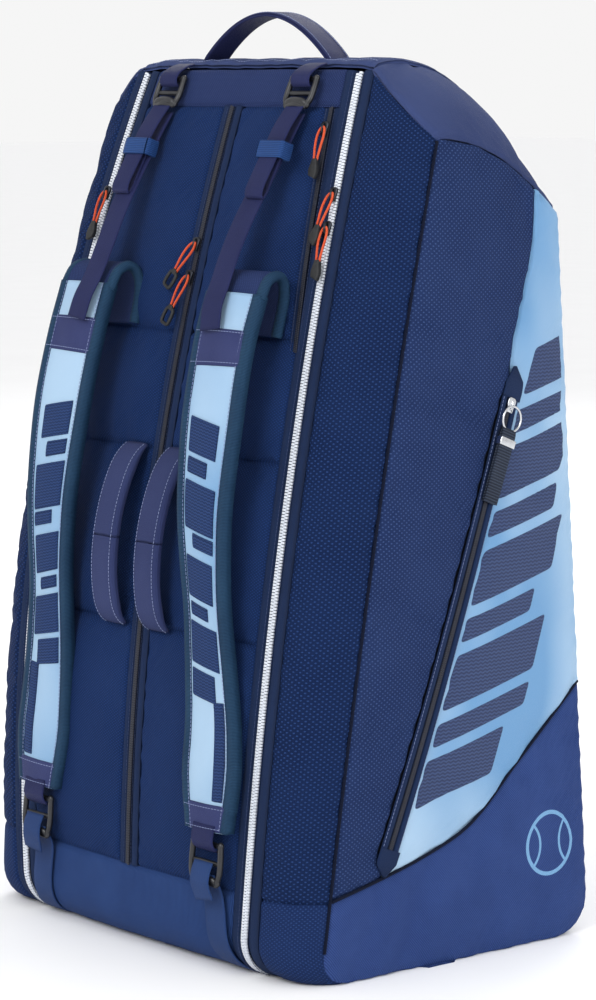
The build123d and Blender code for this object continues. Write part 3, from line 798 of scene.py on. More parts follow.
# ---- covers ----------------------------------------------------------------------------------
def side_front(z):
    """The front edge of a side panel, rounded at the bottom."""
    r = 0.028
    angle = np.clip((r - z) / r, 0, 1)
    return seam_y(np.maximum(z, 0)) + r * (1 - np.sqrt(1 - np.minimum(angle, 1) ** 2))


def side_back(z):
    r = BACK_RADIUS
    angle = np.clip((r - z) / r, 0, 1)
    return np.minimum(back_y(z) - r * (1 - np.sqrt(1 - angle**2)), side_top_back(z))


def gusset_top(s):
    """Height of the seam between a gusset and the top cloth."""
    return 0.7545 - 0.0555 * s - 0.006 * s * (1 - s)


def gusset_point(s, v):
    """The cover's front strip at share s from the zip to the side panel, and at v along its profile."""
    radius = FRONT_RADIUS + (0.028 - FRONT_RADIUS) * s
    z, back = roll(v, radius)
    x0, y0 = zip_x(z) + FACING, front_y(z) - 0.0003
    x2, y2 = seam_x(z), seam_y(z)
    x1, y1 = (x0 + x2) / 2 + 0.007, (y0 + y2) / 2 - 0.0145
    a, b, c = (1 - s) ** 2, 2 * s * (1 - s), s**2
    return np.stack([a * x0 + b * x1 + c * x2, a * y0 + b * y1 + c * y2 + back, z], -1)


def gussets(tag, way):
    body = f"{tag}_cover"

    def main_surface(s, t):
        return mirror(gusset_point(s, SEAM_BASE + (gusset_top(s) - SEAM_BASE) * t), way)

    def foot_surface(s, t):
        return mirror(gusset_point(s, SEAM_BASE - 0.122 * (1 - t)), way)

    main = panel(f"{tag}_gusset_cloth", main_surface, (0.075, 0.65), GUSSET_CLOTH, slack=0.010, cap=0.004)
    place(main, body, "textured_cloth", f"{tag}_gusset")
    low = panel(f"{tag}_gusset_foot", foot_surface, (0.075, 0.12), FOOT_CLOTH, tuck="lrt")
    place(low, body, "textured_cloth", f"{tag}_gusset")

    def under(s, t):
        y = -0.125 + 0.250 * t
        x0, x1 = zip_x(0) + 0.006, side_front_x(y)
        return mirror(np.stack([x0 + (x1 - x0) * s, y, 0.0022 + 0 * y], -1), way)

    floor = panel(f"{tag}_under", under, (0.06, 0.25), YOKE_CLOTH, tuck="", puff=0.0, wave=0.0002)
    place(floor, body, "textured_cloth", f"{tag}_gusset")


def side_piping(tag, way):
    """Dark piping in a side panel's front seam and in the seam above its lower field."""
    z = np.linspace(0.030, 0.697, 90)
    path = np.stack([seam_x(z) - 0.0006, seam_y(z) - 0.0002, z], -1)
    normal = mirror(np.array([0.8, -0.6, 0.0]), way)
    piece = sweep(f"{tag}_side_piping", mirror(path, way), normal, round_section(0.0013, 8), PIPING)
    place(piece, f"{tag}_cover", "textured_cloth", f"{tag}_side_panel")
    path, normal = side_path(LOW_SEAM, 0.0004)
    piece = sweep(f"{tag}_low_piping", mirror(path, way), mirror(normal, way), round_section(0.0014, 8),
                  PIPING)
    place(piece, f"{tag}_cover", "textured_cloth", f"{tag}_side_panel")


def side_front_x(y):
    share = np.clip((y - seam_y(0.0)) / (back_y(0.0) - seam_y(0.0)), 0, 1)
    return seam_x(0.0) + share * (back_x(0.0) - seam_x(0.0)) - 0.003


POCKET_TOP, POCKET_END = (0.0736, 0.4814), (-0.0696, 0.1074)
FIELD_EDGE = [(-0.0745, 0.086), POCKET_END, (-0.0624, 0.1261), (0.0020, 0.2944), (0.0664, 0.4627), POCKET_TOP,
              (0.080, 0.524), (0.093, 0.560), (0.109, 0.607), (0.1148, 0.6560)]
LOW_SEAM = [(-0.1275, 0.074), (-0.0745, 0.086), (-0.02, 0.101), (0.025, 0.120), (0.079, 0.165),
            (0.155, 0.225)]


def polyline(points):
    """A curve through points of two or three numbers, over a share from 0 to 1 of its length."""
    p = np.asarray(points, float)
    d = length_along(p)
    return lambda t: np.stack([np.interp(t, d / d[-1], p[:, k]) for k in range(p.shape[1])], -1)


def coons(bottom, top, left, right):
    """A patch inside four curves that meet at the corners."""

    def patch(s, t):
        c00, c10 = bottom(np.zeros(1))[0], bottom(np.ones(1))[0]
        c01, c11 = top(np.zeros(1))[0], top(np.ones(1))[0]
        a, b = s[..., None], t[..., None]
        ruled = (1 - b) * bottom(s) + b * top(s) + (1 - a) * left(t) + a * right(t)
        flat = (1 - a) * (1 - b) * c00 + a * (1 - b) * c10 + (1 - a) * b * c01 + a * b * c11
        return ruled - flat

    return patch


def along_z(edge, z0, z1, count=40):
    z = np.linspace(z0, z1, count)
    return polyline(np.stack([edge(z), z], -1))


def field_edge(way):
    """The light field's left edge, moved to one side of the pocket zip."""
    p = smooth_path([(y, z, 0) for y, z in FIELD_EDGE], 0.008)[:, :2]
    gap = 0.0098 * np.clip((0.489 - p[:, 1]) / 0.0045, 0, 1) * np.clip((p[:, 1] - 0.099) / 0.0045, 0, 1)
    return p + np.stack([way * gap, 0 * gap], -1)


def side_panels(tag, way):
    body = f"{tag}_cover"
    pocket = tag == "right"
    wide = field_edge(-1) if pocket else field_edge(0)
    satin = field_edge(1) if pocket else field_edge(0)
    low_seam = smooth_path([(y, z, 0) for y, z in LOW_SEAM], 0.004)[:, :2]
    low_left = polyline([p for p in low_seam if p[0] <= -0.0745])
    low_right = polyline([p for p in low_seam if p[0] >= -0.0745])
    dark_right = np.concatenate([wide, [(0.085, side_top(0.085)), (0.045, side_top(0.045)), (0.0, 0.699)]])
    fields = {
        "dark": (coons(low_left, polyline([(-0.0034, 0.699), (0.0, 0.699)]),
                       along_z(side_front, 0.074, 0.699), polyline(dark_right)), (0.1, 0.62), SIDE_CLOTH),
        "light": (coons(low_right, polyline([(0.1148, 0.6560), (0.1172, 0.6550)]), polyline(satin),
                        along_z(side_back, 0.225, 0.6550, 120)), (0.12, 0.5), SIDE_SATIN),
        "low": (coons(along_bottom(), polyline(low_seam), along_z(side_front, 0.0, 0.074),
                      along_z(side_back, 0.0, 0.225, 120)), (0.25, 0.22), LOW_SIDE_CLOTH),
    }
    for name, (patch, size, cloth) in fields.items():

        def surface(s, t):
            yz = patch(s, t)
            return mirror(side(yz[..., 0], yz[..., 1]), way)

        coords = lambda p: (p[..., 1], p[..., 2])
        edge = {"slack": 0.006, "cap": 0.003, "depth": 0.0018, "width": 0.0035} if name == "light" else {
            "slack": 0.012, "cap": 0.004}
        piece = panel(f"{tag}_side_{name}", surface, size, cloth, puff=0.002, uv=coords, **edge)
        place(piece, body, "textured_cloth", f"{tag}_side_panel")

    def backing(s, t):
        z = 0.004 + 0.692 * t
        low, high = side_front(z), side_back(z)
        return mirror(side(low + (high - low) * s, z), way)

    lining = panel(f"{tag}_side_lining", backing, (0.28, 0.69), LINING, tuck="", raise_by=-0.004, puff=0.0,
                   wave=0.0, thick=0.001, step=0.02)
    place(lining, body, "lining")


def along_bottom():
    y = np.linspace(side_front(np.zeros(1))[0], side_back(np.zeros(1))[0], 30)
    return polyline(np.stack([y, 0 * y], -1))


def shoulders(tag, way):
    """The ends of the plain top cloth, which stretch where the cover swings out."""
    share = np.linspace(0, 1, 40)
    near = gusset_point(share, gusset_top(share))
    y_in = near[0, 1] + (BACK_TOP_Y - near[0, 1]) * share
    edge_x = near[0, 0] + (0.1495 - near[0, 0]) * np.minimum(share * 6, 1)
    inner = np.stack([edge_x, y_in, np.minimum(ridge_z(y_in) - 0.003, near[0, 2] + 0.03 * share + 0.004)], -1)
    y_out = near[-1, 1] + (BACK_TOP_Y - near[-1, 1]) * share
    outer = side(y_out, side_top(y_out) + 0.0005)
    outer[0] = near[-1]
    far = np.stack([inner[-1] + (outer[-1] - inner[-1]) * q for q in share])
    patch = coons(polyline(near), polyline(far), polyline(inner), polyline(outer))

    def surface(s, t):
        rise = 0.0085 * np.sin(np.pi * s) ** 0.8 * np.sin(np.pi * np.clip(t * 1.15, 0, 1)) ** 0.7
        return mirror(patch(s, t) + np.stack([0.45 * rise, 0 * s, rise], -1), way)

    piece = panel(f"{tag}_shoulder_cloth", surface, (0.075, 0.17), TOP_CLOTH, puff=0.002, slack=0.012,
                  cap=0.003)
    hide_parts(f"{tag}_shoulder")
    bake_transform(piece)


# ---- zips ------------------------------------------------------------------------------------
def front_line(line, v0, v1, way=1, lift=0.0, count=160):
    """A path up the front at x = line(z), and its normals."""
    v = np.linspace(v0, v1, count)
    z, _ = roll(v, FRONT_RADIUS)
    path = front(line(z) + 0 * z, v)
    tangent = unit(np.gradient(path, axis=0))
    across = np.array([1.0, 0, 0]) - tangent * tangent[:, :1]
    normal = unit(np.cross(tangent, across))
    if (normal * [0, 1, 0.0]).sum() > 0:
        normal = -normal
    return mirror(path + normal * lift, way), mirror(normal, way)


def tooth_block(width, length, rise):
    """One zip tooth, with a nose that reaches past the middle and bevelled edges."""
    outline = [(-width * 0.12, 0), (-width * 0.12, rise * 0.6), (width * 0.1, rise), (width * 0.8, rise),
               (width, rise * 0.6), (width, 0)]
    return prism(outline, -length / 2, length / 2)


def chain(name, line, v0, v1, way, half, pitch, rise, material, body, slot, nodes, hand=1):
    """One side's teeth of a chain. hand is 1 for the side away from the bag's middle."""
    path, normal = front_line(line, v0, v1, way)
    block, faces = tooth_block(half, pitch * 0.74, rise)
    sign = hand * way
    _, across, _ = frames(path, normal)
    if across[0, 0] * sign < 0:
        block = [(-a, b, c) for a, b, c in block]
        faces = [f[::-1] for f in faces]
    shift = 0.0 if hand > 0 else pitch / 2
    piece = repeated(name, path, normal, block, faces, pitch, material, shift)
    return place(piece, body, slot, *nodes)


def facing(name, way, near, far, v0, v1, line, body, nodes, slot="zip_white", lift=0.0004):
    """A smooth strip beside a chain, from near to far off the line."""
    x_in, x_out = (lambda z: line(z) + near), (lambda z: line(z) + far)
    lo, hi = (x_in, x_out) if near < far else (x_out, x_in)

    def surface(s, t):
        v = v0 + (v1 - v0) * t
        z, _ = roll(v, FRONT_RADIUS)
        point = front(lo(z) + (hi(z) - lo(z)) * s, v)
        if body.endswith("cover"):
            point[..., 1] = front(line(z) + 0 * s, v)[..., 1]
        return mirror(point, way)

    piece = panel(name, surface, (abs(far - near), v1 - v0), TAPE_CLOTH, tuck="lr", depth=0.0016,
                  width=0.0028, puff=0.0009, wave=0.0002, thick=0.0012, raise_by=lift, pucker=0.00012)
    return place(piece, body, slot, *nodes)


def side_zip(tag, way):
    for part, hand, body in (("inner", -1, "root"), ("outer", 1, f"{tag}_cover")):
        node = f"{tag}_zip_{part}"
        shift = lambda z: zip_x(z) + hand * 0.0003
        chain(f"{node}_teeth", shift, -0.030, ZIP_TOP, way, 0.0032, 0.0026, 0.0020, WHITE, body, "zip_white",
              [node], hand)
        facing(f"{node}_tape", way, hand * 0.0012, hand * FACING, -0.040, ZIP_TOP + 0.002, zip_x, body,
               [node], lift=-0.0012)
        facing(f"{node}_facing", way, hand * 0.0042, hand * (FACING + 0.0004), -0.040, ZIP_TOP + 0.002,
               zip_x, body, [node], lift=0.0010)
        path, normal = front_line(lambda z: zip_x(z) + hand * 0.0060, -0.02, ZIP_TOP, way, 0.0023)
        stitches(f"{node}_stitch", path, normal, DARK_THREAD, body, "zip_white")

    def under(hand):
        def surface(s, t):
            x = zip_x(0) + hand * (0.0004 + 0.0150 * s)
            return mirror(np.stack([x, -0.118 + 0.246 * t, 0.0024 + 0 * s], -1), way)

        return surface

    for part, hand, body in (("inner", -1, "root"), ("outer", 1, f"{tag}_cover")):
        piece = panel(f"{tag}_{part}_under", under(hand), (0.015, 0.246), TAPE_CLOTH, tuck="", puff=0.0,
                      wave=0.0, thick=0.0014)
        place(piece, body, "zip_white", f"{tag}_zip_{part}")


def coil_zip(name, line, v0, v1, body, node, half=0.0024):
    """A dark coil zip in the front with the smooth strips on both sides."""
    for hand in (-1, 1):
        chain(f"{name}_coil_{hand + 1}", line, v0, v1, 1, half, 0.0015, 0.0013, COIL, body, "zip_dark",
              [node], hand)
        facing(f"{name}_tape_{hand + 1}", 1, hand * 0.0009, hand * 0.0100, v0, v1, line, body, [node],
               "zip_dark", -0.0012)
        path, normal = front_line(lambda z: line(z) + hand * 0.0046, v0, v1, 1, 0.0010)
        stitches(f"{name}_stitch_{hand + 1}", path, normal, DARK_THREAD, body, "zip_dark")


def centre_zip():
    for hand in (-1, 1):
        facing(f"centre_facing_{hand + 1}", 1, hand * 0.0036, hand * (COIL_FACING + 0.0003), SEAM_BASE,
               SEAM_TOP, lambda z: 0 * z, "root", ["centre_zip"], "zip_dark", 0.0008)
    coil_zip("centre", lambda z: 0 * z, SEAM_BASE, SEAM_TOP, "root", "centre_zip")


def pocket_y(z):
    """How far back the side pocket's zip is at a height."""
    return (POCKET_END[0] + (POCKET_TOP[0] - POCKET_END[0]) * (z - POCKET_END[1])
            / (POCKET_TOP[1] - POCKET_END[1]))


def pocket_lining():
    def surface(s, t):
        z = 0.540 + 0.176 * t
        x = 0.024 + 0.086 * s
        depth = 0.030 * np.sin(np.pi * s) ** 0.5 * np.sin(np.pi * np.clip(t, 0.02, 0.98)) ** 0.5
        return front(x, z) + np.stack([0 * s, 0.004 + depth, 0 * s], -1)

    bag = panel("front_pocket_bag", surface, (0.09, 0.176), LINING, tuck="", puff=0.0, thick=0.001)
    place(bag, "root", "lining", "front_pocket")

    def side_bag(s, t):
        z = 0.115 + 0.320 * t
        y = pocket_y(z)
        p = side(y - 0.02 + 0.10 * s, z)
        return p - np.stack([0.006 + 0.010 * np.sin(np.pi * s), 0 * s, 0 * s], -1)

    bag = panel("side_pocket_bag", side_bag, (0.1, 0.33), LINING, tuck="", puff=0.0, thick=0.001)
    place(bag, "right_cover", "lining", "side_pocket")


def side_path(points, lift=0.0, step=0.002):
    """A path on the right side panel through (y, z) points, and its normals."""
    yz = smooth_path([(y, z, 0) for y, z in points], step)[:, :2]
    path = side(yz[:, 0], yz[:, 1])
    d = 0.002
    up = side(yz[:, 0], yz[:, 1] + d) - side(yz[:, 0], yz[:, 1] - d)
    back = side(yz[:, 0] + d, yz[:, 1]) - side(yz[:, 0] - d, yz[:, 1])
    normal = unit(np.cross(back, up))
    return path + normal * lift, normal


def side_pocket_zip():
    path, normal = side_path([POCKET_END, POCKET_TOP])
    for hand in (-1, 1):
        block, faces = tooth_block(0.0024, 0.0010, 0.0014)
        if hand < 0:
            block, faces = [(-a, b, c) for a, b, c in block], [f[::-1] for f in faces]
        piece = repeated(f"side_pocket_coil_{hand + 1}", path + normal * 0.0012, normal, block, faces,
                         0.0015, COIL, 0.0 if hand > 0 else 0.00075)
        place(piece, "right_cover", "zip_dark", "side_pocket_zip")
        _, across, _ = frames(path, normal)
        edge_path = side_path([(-0.0710, 0.1037), (0.0750, 0.4851)])
        _, wide, _ = frames(*edge_path)
        band = sweep(f"side_pocket_facing_{hand + 1}", edge_path[0] + hand * wide * 0.0068 + edge_path[1] * 0.0002,
                     edge_path[1], flat_section(0.0068, 0.0022, 0.0006), TAPE_CLOTH)
        place(band, "right_cover", "zip_dark", "side_pocket_zip")
        stitches(f"side_pocket_stitch_{hand + 1}", path + hand * across * 0.0088 + normal * 0.0024, normal,
                 THREAD, "right_cover", "zip_dark")
    for end, points in enumerate(([(-0.0686, 0.1100), (-0.0728, 0.0990), (-0.0752, 0.0875)],
                                  [(0.0726, 0.4788), (0.0765, 0.4889), (0.0785, 0.5060)])):
        tab_path, tab_normal = side_path(points, 0.0019)
        share = np.linspace(0, 1, len(tab_path))
        tab = sweep(f"side_pocket_end_{end}", tab_path, tab_normal, flat_section(0.0225, 0.0016, 0.0003),
                    TAPE_CLOTH, np.clip((1.06 - share) * 1.9, 0.12, 1))
        place(tab, "right_cover", "zip_dark", "side_pocket_zip")
    tape = sweep("side_pocket_tape", path - normal * 0.0006, normal, flat_section(0.016, 0.0016), TAPE_CLOTH)
    place(tape, "right_cover", "zip_dark", "side_pocket_zip")


# ---- sliders and pulls -----------------------------------------------------------------------
def bevelled(name, points, faces, material, width=0.0005, segments=2):
    """A hard piece from a rough outline, its edges rounded."""
    obj = make(name, points, faces, np.zeros((len(points), 2)), material)
    modifier = obj.modifiers.new("edges", "BEVEL")
    modifier.width, modifier.segments, modifier.limit_method = width, segments, "ANGLE"
    modifier.angle_limit = 0.5
    bpy.context.view_layer.update()
    mesh = bpy.data.meshes.new_from_object(obj.evaluated_get(bpy.context.evaluated_depsgraph_get()))
    obj.modifiers.clear()
    obj.data = mesh
    return obj


def solid_outline(outline, low, high, place_at):
    """An outline of (x, z) points between y = low and y = high in a local frame, put in the row frame."""
    n = len(outline)
    local = [(x, low, z) for x, z in outline] + [(x, high, z) for x, z in outline]
    origin, x_axis, y_axis, z_axis = place_at
    points = [origin + x_axis * p[0] + y_axis * p[1] + z_axis * p[2] for p in local]
    faces = [[i, (i + 1) % n, (i + 1) % n + n, i + n] for i in range(n)]
    return points, faces + [list(range(n))[::-1], list(range(n, 2 * n))]


def local_frame(origin, along, normal, lean=0.0, way=1):
    """Origin and axes: X across, Y into the bag, Z along, turned in the plane by lean degrees."""
    z_axis, y_axis = unit(np.asarray(along, float)), -unit(np.asarray(normal, float))
    x_axis = np.cross(y_axis, z_axis)
    angle = math.radians(lean)
    x_turned = x_axis * math.cos(angle) - z_axis * math.sin(angle)
    z_turned = x_axis * math.sin(angle) + z_axis * math.cos(angle)
    axes = (np.asarray(origin, float), x_turned, y_axis, z_turned)
    return tuple(mirror(a, way) for a in axes)


def front_frame(x, z, lean=0.0, line=None, way=1, lift=0.0016):
    line = line or (lambda q: x + 0 * q)
    low, high = front(line(z - 0.005), z - 0.005), front(line(z + 0.005), z + 0.005)
    along = unit(high - low)
    across = unit(np.array([1.0, 0, 0]) - along * along[0])
    normal = -np.cross(along, across)
    origin = front(np.float64(x), np.float64(z)) + np.array([0, -lift, 0])
    return local_frame(origin, along, normal, lean, way)


def slider_outline(width, length):
    """A slider's plan: shoulders at the top, waist and a straight lower end."""
    w, h = width / 2, length / 2
    right = [(w * 0.55, h), (w, h * 0.75), (w, h * 0.15), (w * 0.78, -h * 0.3), (w * 0.72, -h)]
    return right + [(-x, z) for x, z in reversed(right)]


def slider_pieces(name, at, body, material=DARK_METAL, scale=1.0, rise=0.0024):
    outline = slider_outline(0.0088 * scale, 0.0125 * scale)
    plate = bevelled(f"{name}_plate", *solid_outline(outline, -0.0034, -0.0014, at), material, 0.0006)
    place(plate, body, "slider_metal", name)
    ring = np.linspace(0, math.pi, 14)
    arch = np.stack([0 * ring, -0.0030 - rise * np.sin(ring), 0.0042 * np.cos(ring)], -1)
    bridge = sweep(f"{name}_bridge", ring_path(at, arch), at[1], round_section(0.0009, 8), material)
    place(bridge, body, "slider_metal", name)


def ring_path(at, points):
    origin, x_axis, y_axis, z_axis = at
    p = np.asarray(points, float)
    return origin + p[:, :1] * x_axis + p[:, 1:2] * y_axis + p[:, 2:] * z_axis


def nurbs_cord(name, path, radius, material):
    curve = bpy.data.curves.new(name, "CURVE")
    curve.dimensions = "3D"
    curve.bevel_depth, curve.bevel_resolution = radius, 3
    spline = curve.splines.new("NURBS")
    spline.points.add(len(path) - 1)
    for point, co in zip(spline.points, path):
        point.co = (*[float(c) for c in co], 1)
    spline.order_u = 3
    spline.use_endpoint_u = True
    curve.materials.append(material)
    obj = bpy.data.objects.new(name, curve)
    bpy.context.collection.objects.link(obj)
    return obj


def cord_pull(name, at, kind):
    """A cord from one side of the rubber end, through the slider's bridge and back to the other side."""
    body = f"{name}_pull"
    y = -0.0062
    loop = [(-0.0016, y, -0.0325), (-0.0021, y, -0.026), (-0.0034, y, -0.017), (-0.0040, y + 0.0006, -0.009),
            (-0.0030, y + 0.0014, -0.002), (0.0, y + 0.0020, 0.0012), (0.0030, y + 0.0014, -0.002),
            (0.0040, y + 0.0006, -0.009), (0.0034, y, -0.017), (0.0021, y, -0.026), (0.0016, y, -0.0325)]
    path = smooth_path(ring_path(at, loop), 0.0022)
    cord = nurbs_cord(f"{name}_cord", path, 0.00105, CORD)
    place(cord, body, "cord", f"{name}_pull")
    if kind == "wedge":
        outline = [(-0.0030, -0.0305), (0.0030, -0.0305), (0.0046, -0.0365), (0.0050, -0.0405),
                   (0.0034, -0.0462), (-0.0042, -0.0425), (-0.0048, -0.0375)]
        tip = bevelled(f"{name}_tip", *solid_outline(outline, y - 0.0021, y + 0.0021, at), RUBBER, 0.0009, 3)
    else:
        corners = [(0.0, y, -0.0300), (0.0047, y, -0.0330), (0.0046, y, -0.0440), (0.0, y, -0.0452),
                   (-0.0046, y, -0.0440), (-0.0047, y, -0.0330), (0.0, y, -0.0300)]
        ring = smooth_path(ring_path(at, corners), 0.0012)
        tip = sweep(f"{name}_tip", ring, at[2], round_section(0.0016, 8), RUBBER)
    place(tip, body, "cord", f"{name}_pull")
    outline = [(-0.0027, -0.0280), (0.0027, -0.0280), (0.0031, -0.0325), (-0.0031, -0.0325)]
    neck = bevelled(f"{name}_neck", *solid_outline(outline, y - 0.0019, y + 0.0019, at), RUBBER, 0.0006)
    place(neck, body, "cord", f"{name}_pull")


FRONT_SLIDERS = {  # name: the zip's line, height, lean of the pull in degrees, kind of pull
    "centre_upper": (lambda z: 0.0 * z, 0.606, 30, "loop"),
    "centre_lower": (lambda z: 0.0 * z, 0.578, 20, "loop"),
    "right_upper": (zip_x, 0.652, 14, "wedge"),
    "right_lower": (zip_x, 0.624, 0, "wedge"),
    "left_zip": (zip_x, 0.646, 0, "wedge"),
    "front_pocket": (pocket_line, 0.706, 0, "wedge"),
}


def sliders():
    for name, (line, z, lean, kind) in FRONT_SLIDERS.items():
        way = -1 if name.startswith("left") else 1
        slider_pieces(f"{name}_slider", front_frame(line(z), z, 0, line, way), f"{name}_slider")
        cord_pull(name, front_frame(line(z), z, lean, line, way), kind)


def side_pocket_pull():
    """The side pocket's metal slider, its ring, and the ribbed webbing on the ring."""
    z = POCKET_TOP[1] - 0.008
    y = pocket_y(z)
    along = unit(np.array([0, POCKET_TOP[0] - POCKET_END[0], POCKET_TOP[1] - POCKET_END[1]]))
    origin = side(np.float64(y), np.float64(z)) + np.array([0.0016, 0, 0])
    at = local_frame(origin, along, [1, 0, 0])
    slider_pieces("side_pocket_slider", at, "side_pocket_slider", SILVER, 1.05, 0.0013)
    angle = np.linspace(0, math.tau, 49)
    ring = np.stack([0.0108 * np.sin(angle), -0.0079 + 0 * angle, -0.012 + 0.0108 * np.cos(angle)], -1)
    hoop = sweep("side_pocket_hoop", ring_path(at, ring), at[2], round_section(0.0011, 10), SILVER,
                 caps=False)
    place(hoop, "side_pocket_pull", "ring_metal", "side_pocket_ring")
    fold = [(0, -0.0100, -0.086), (0, -0.0104, -0.060), (0, -0.0104, -0.030), (0, -0.0096, -0.0225),
            (0, -0.0079, -0.0205), (0, -0.0062, -0.0225), (0, -0.0058, -0.030), (0, -0.0058, -0.060),
            (0, -0.0060, -0.086)]
    path = smooth_path(ring_path(at, fold), 0.0015)
    tangent = unit(np.gradient(path, axis=0))
    web = sweep("side_pocket_web", path, np.cross(tangent, at[1]), flat_section(0.017, 0.0020, 0.0003),
                RIB_LOOP)
    place(web, "side_pocket_pull", "webbing", "side_pocket_loop")
    outline = [(-0.0092, -0.036), (0.0092, -0.036), (0.0092, -0.029), (-0.0092, -0.029)]
    clamp = bevelled("side_pocket_clamp", *solid_outline(outline, -0.0112, -0.0046, at), SILVER, 0.0007)
    place(clamp, "side_pocket_pull", "ring_metal", "side_pocket_loop")


# ---- straps ----------------------------------------------------------------------------------
STRAP_PATH = [(0.099, 0.034, 0.571), (0.099, 0.037, 0.530), (0.101, 0.037, 0.470), (0.103, 0.033, 0.400),
              (0.105, 0.026, 0.350), (0.107, 0.017, 0.300), (0.110, 0.010, 0.250), (0.113, 0.007, 0.210),
              (0.115, 0.0075, 0.160), (0.116, 0.008, 0.124)]


def off_front(points):
    """Row-frame points from (x, distance in front of the bag, z)."""
    return np.array([front(x, np.float64(z)) - np.array([0, off, 0]) for x, off, z in points])


def strap_width(z):
    wide = 0.067 - 0.021 * np.maximum(0, 1 - np.abs(z - 0.310) / 0.150)
    return np.where(z > 0.160, wide, 0.048 + (z - 0.124) * 0.35)


def soft_width(z):
    return sum(strap_width(z + d) for d in (-0.016, -0.008, 0, 0.008, 0.016)) / 5


class Strap:
    """The right strap's middle surface, by length from the top and by share of its half width."""

    def __init__(self):
        path = smooth_path(off_front(STRAP_PATH), 0.003)
        path[:, 1] -= STRAP_T / 2
        normals = np.zeros_like(path)
        normals[:, 1] = -1
        self.path = path
        self.tangent, across, self.normal = frames(path, normals)
        self.across = across * np.sign(across[:1, :1])
        self.length = length_along(path)
        self.half = soft_width(path[:, 2]) / 2

    def at(self, values, length):
        return np.stack([np.interp(length, self.length, values[:, k]) for k in range(3)], -1)

    def place_of(self, z):
        return float(np.interp(-z, -self.path[:, 2], self.length))

    def point(self, length, share, rise, face=1):
        """A point on the front face, or with face -1 on the back face, rise above it."""
        half = np.interp(length, self.length, self.half)
        dome = STRAP_T / 2 * (0.82 + 0.18 * (1 - np.abs(share) ** 2)) - 0.0006
        lift = (dome + rise) * face
        cup = -0.0022 * share**2
        return (self.at(self.path, length) + self.at(self.across, length) * (half * share)[..., None]
                + self.at(self.normal, length) * (lift + cup)[..., None])


def strap_pad(tag, way, strap):
    """The padded strap: front and back cloth that meet under the binding."""
    body = f"{tag}_strap"
    total = strap.length[-1]
    lengths = np.linspace(0, total, 150)
    shares = np.concatenate([np.linspace(-0.93, 0.93, 27), np.linspace(0.93, -0.93, 27)])
    faces = np.concatenate([np.ones(27), -np.ones(27)])
    l, a = np.meshgrid(lengths, shares, indexing="ij")
    p = strap.point(l, a, 0.0 * l, np.broadcast_to(faces, l.shape))
    soft = 0.0003 * ripple(p, 0.02, 1.0) * np.broadcast_to(faces, l.shape) * (1 - np.abs(a) ** 4)
    p = mirror(p + strap.at(strap.normal, l) * soft[..., None], way)
    index, quads = tube_quads(*l.shape)
    if way < 0:
        quads = quads[:, ::-1]
    faces_all = quads.tolist() + [index[0, ::way].tolist(), index[-1, ::-way].tolist()]
    uv = np.stack([a * 0.03, l], -1).reshape(-1, 2)
    pad = make(f"{tag}_strap_pad", p.reshape(-1, 3), faces_all, uv, SATIN)
    place(pad, body, "strap_padding", f"{tag}_strap")


def strap_patch(tag, way, strap, name, z_high, z_low, left, right, material, slant=0.0, rise=0.0006,
                thick=0.0010, slot="strap_padding", **extra):
    """A piece of cloth sewn on a strap between two heights and two shares of its half width."""
    l0, l1 = strap.place_of(z_high), strap.place_of(z_low)

    def surface(s, t):
        share = left + (right - left) * s
        length = l0 + (l1 - l0) * t + slant * (share - left)
        length = np.clip(length, 0.0, strap.length[-1])
        return mirror(strap.point(length, share, rise + 0 * s), way)

    size = (abs(right - left) * 0.03, abs(l1 - l0))
    piece = panel(f"{tag}_strap_{name}", surface, size, material, depth=0.0005, width=0.002, puff=0.0003,
                  wave=0.0003, thick=thick, step=0.004, pucker=0.0001, **extra)
    place(piece, f"{tag}_strap", slot, f"{tag}_strap")


def strap_edges(tag, way, strap):
    """Ribbed binding round both long edges, with two rows of stitching."""
    body = f"{tag}_strap"
    lengths = np.linspace(0.0, strap.length[-1] - 0.001, 140)
    for edge in (-1, 1):
        centre = strap.point(lengths, edge * 0.86 + 0 * lengths, -STRAP_T / 2 + 0.0006 + 0 * lengths)
        normal = strap.at(strap.normal, lengths)
        outline = [(-0.0054, 0.0049), (-0.0020, 0.0056), (0.0030, 0.0050), (0.0052, 0.0028), (0.0056, 0.0),
                   (0.0052, -0.0028), (0.0030, -0.0050), (-0.0020, -0.0054), (-0.0054, -0.0049)]
        if edge * way > 0:
            outline = [(-a, b) for a, b in outline][::-1]
        outline = [(-a, b) for a, b in outline][::-1]
        piece = sweep(f"{tag}_strap_binding_{edge + 1}", mirror(centre, way), mirror(normal, way), outline,
                      BINDING)
        place(piece, body, "strap_padding", f"{tag}_strap")
        for k, share in enumerate((0.755, 0.93)):
            path = strap.point(lengths, edge * share + 0 * lengths, 0.0010 - 0.0006 * k + 0 * lengths)
            stitches(f"{tag}_strap_stitch_{edge + 1}_{k}", mirror(path, way), mirror(normal, way), THREAD,
                     body, "strap_padding", radius=0.00032)


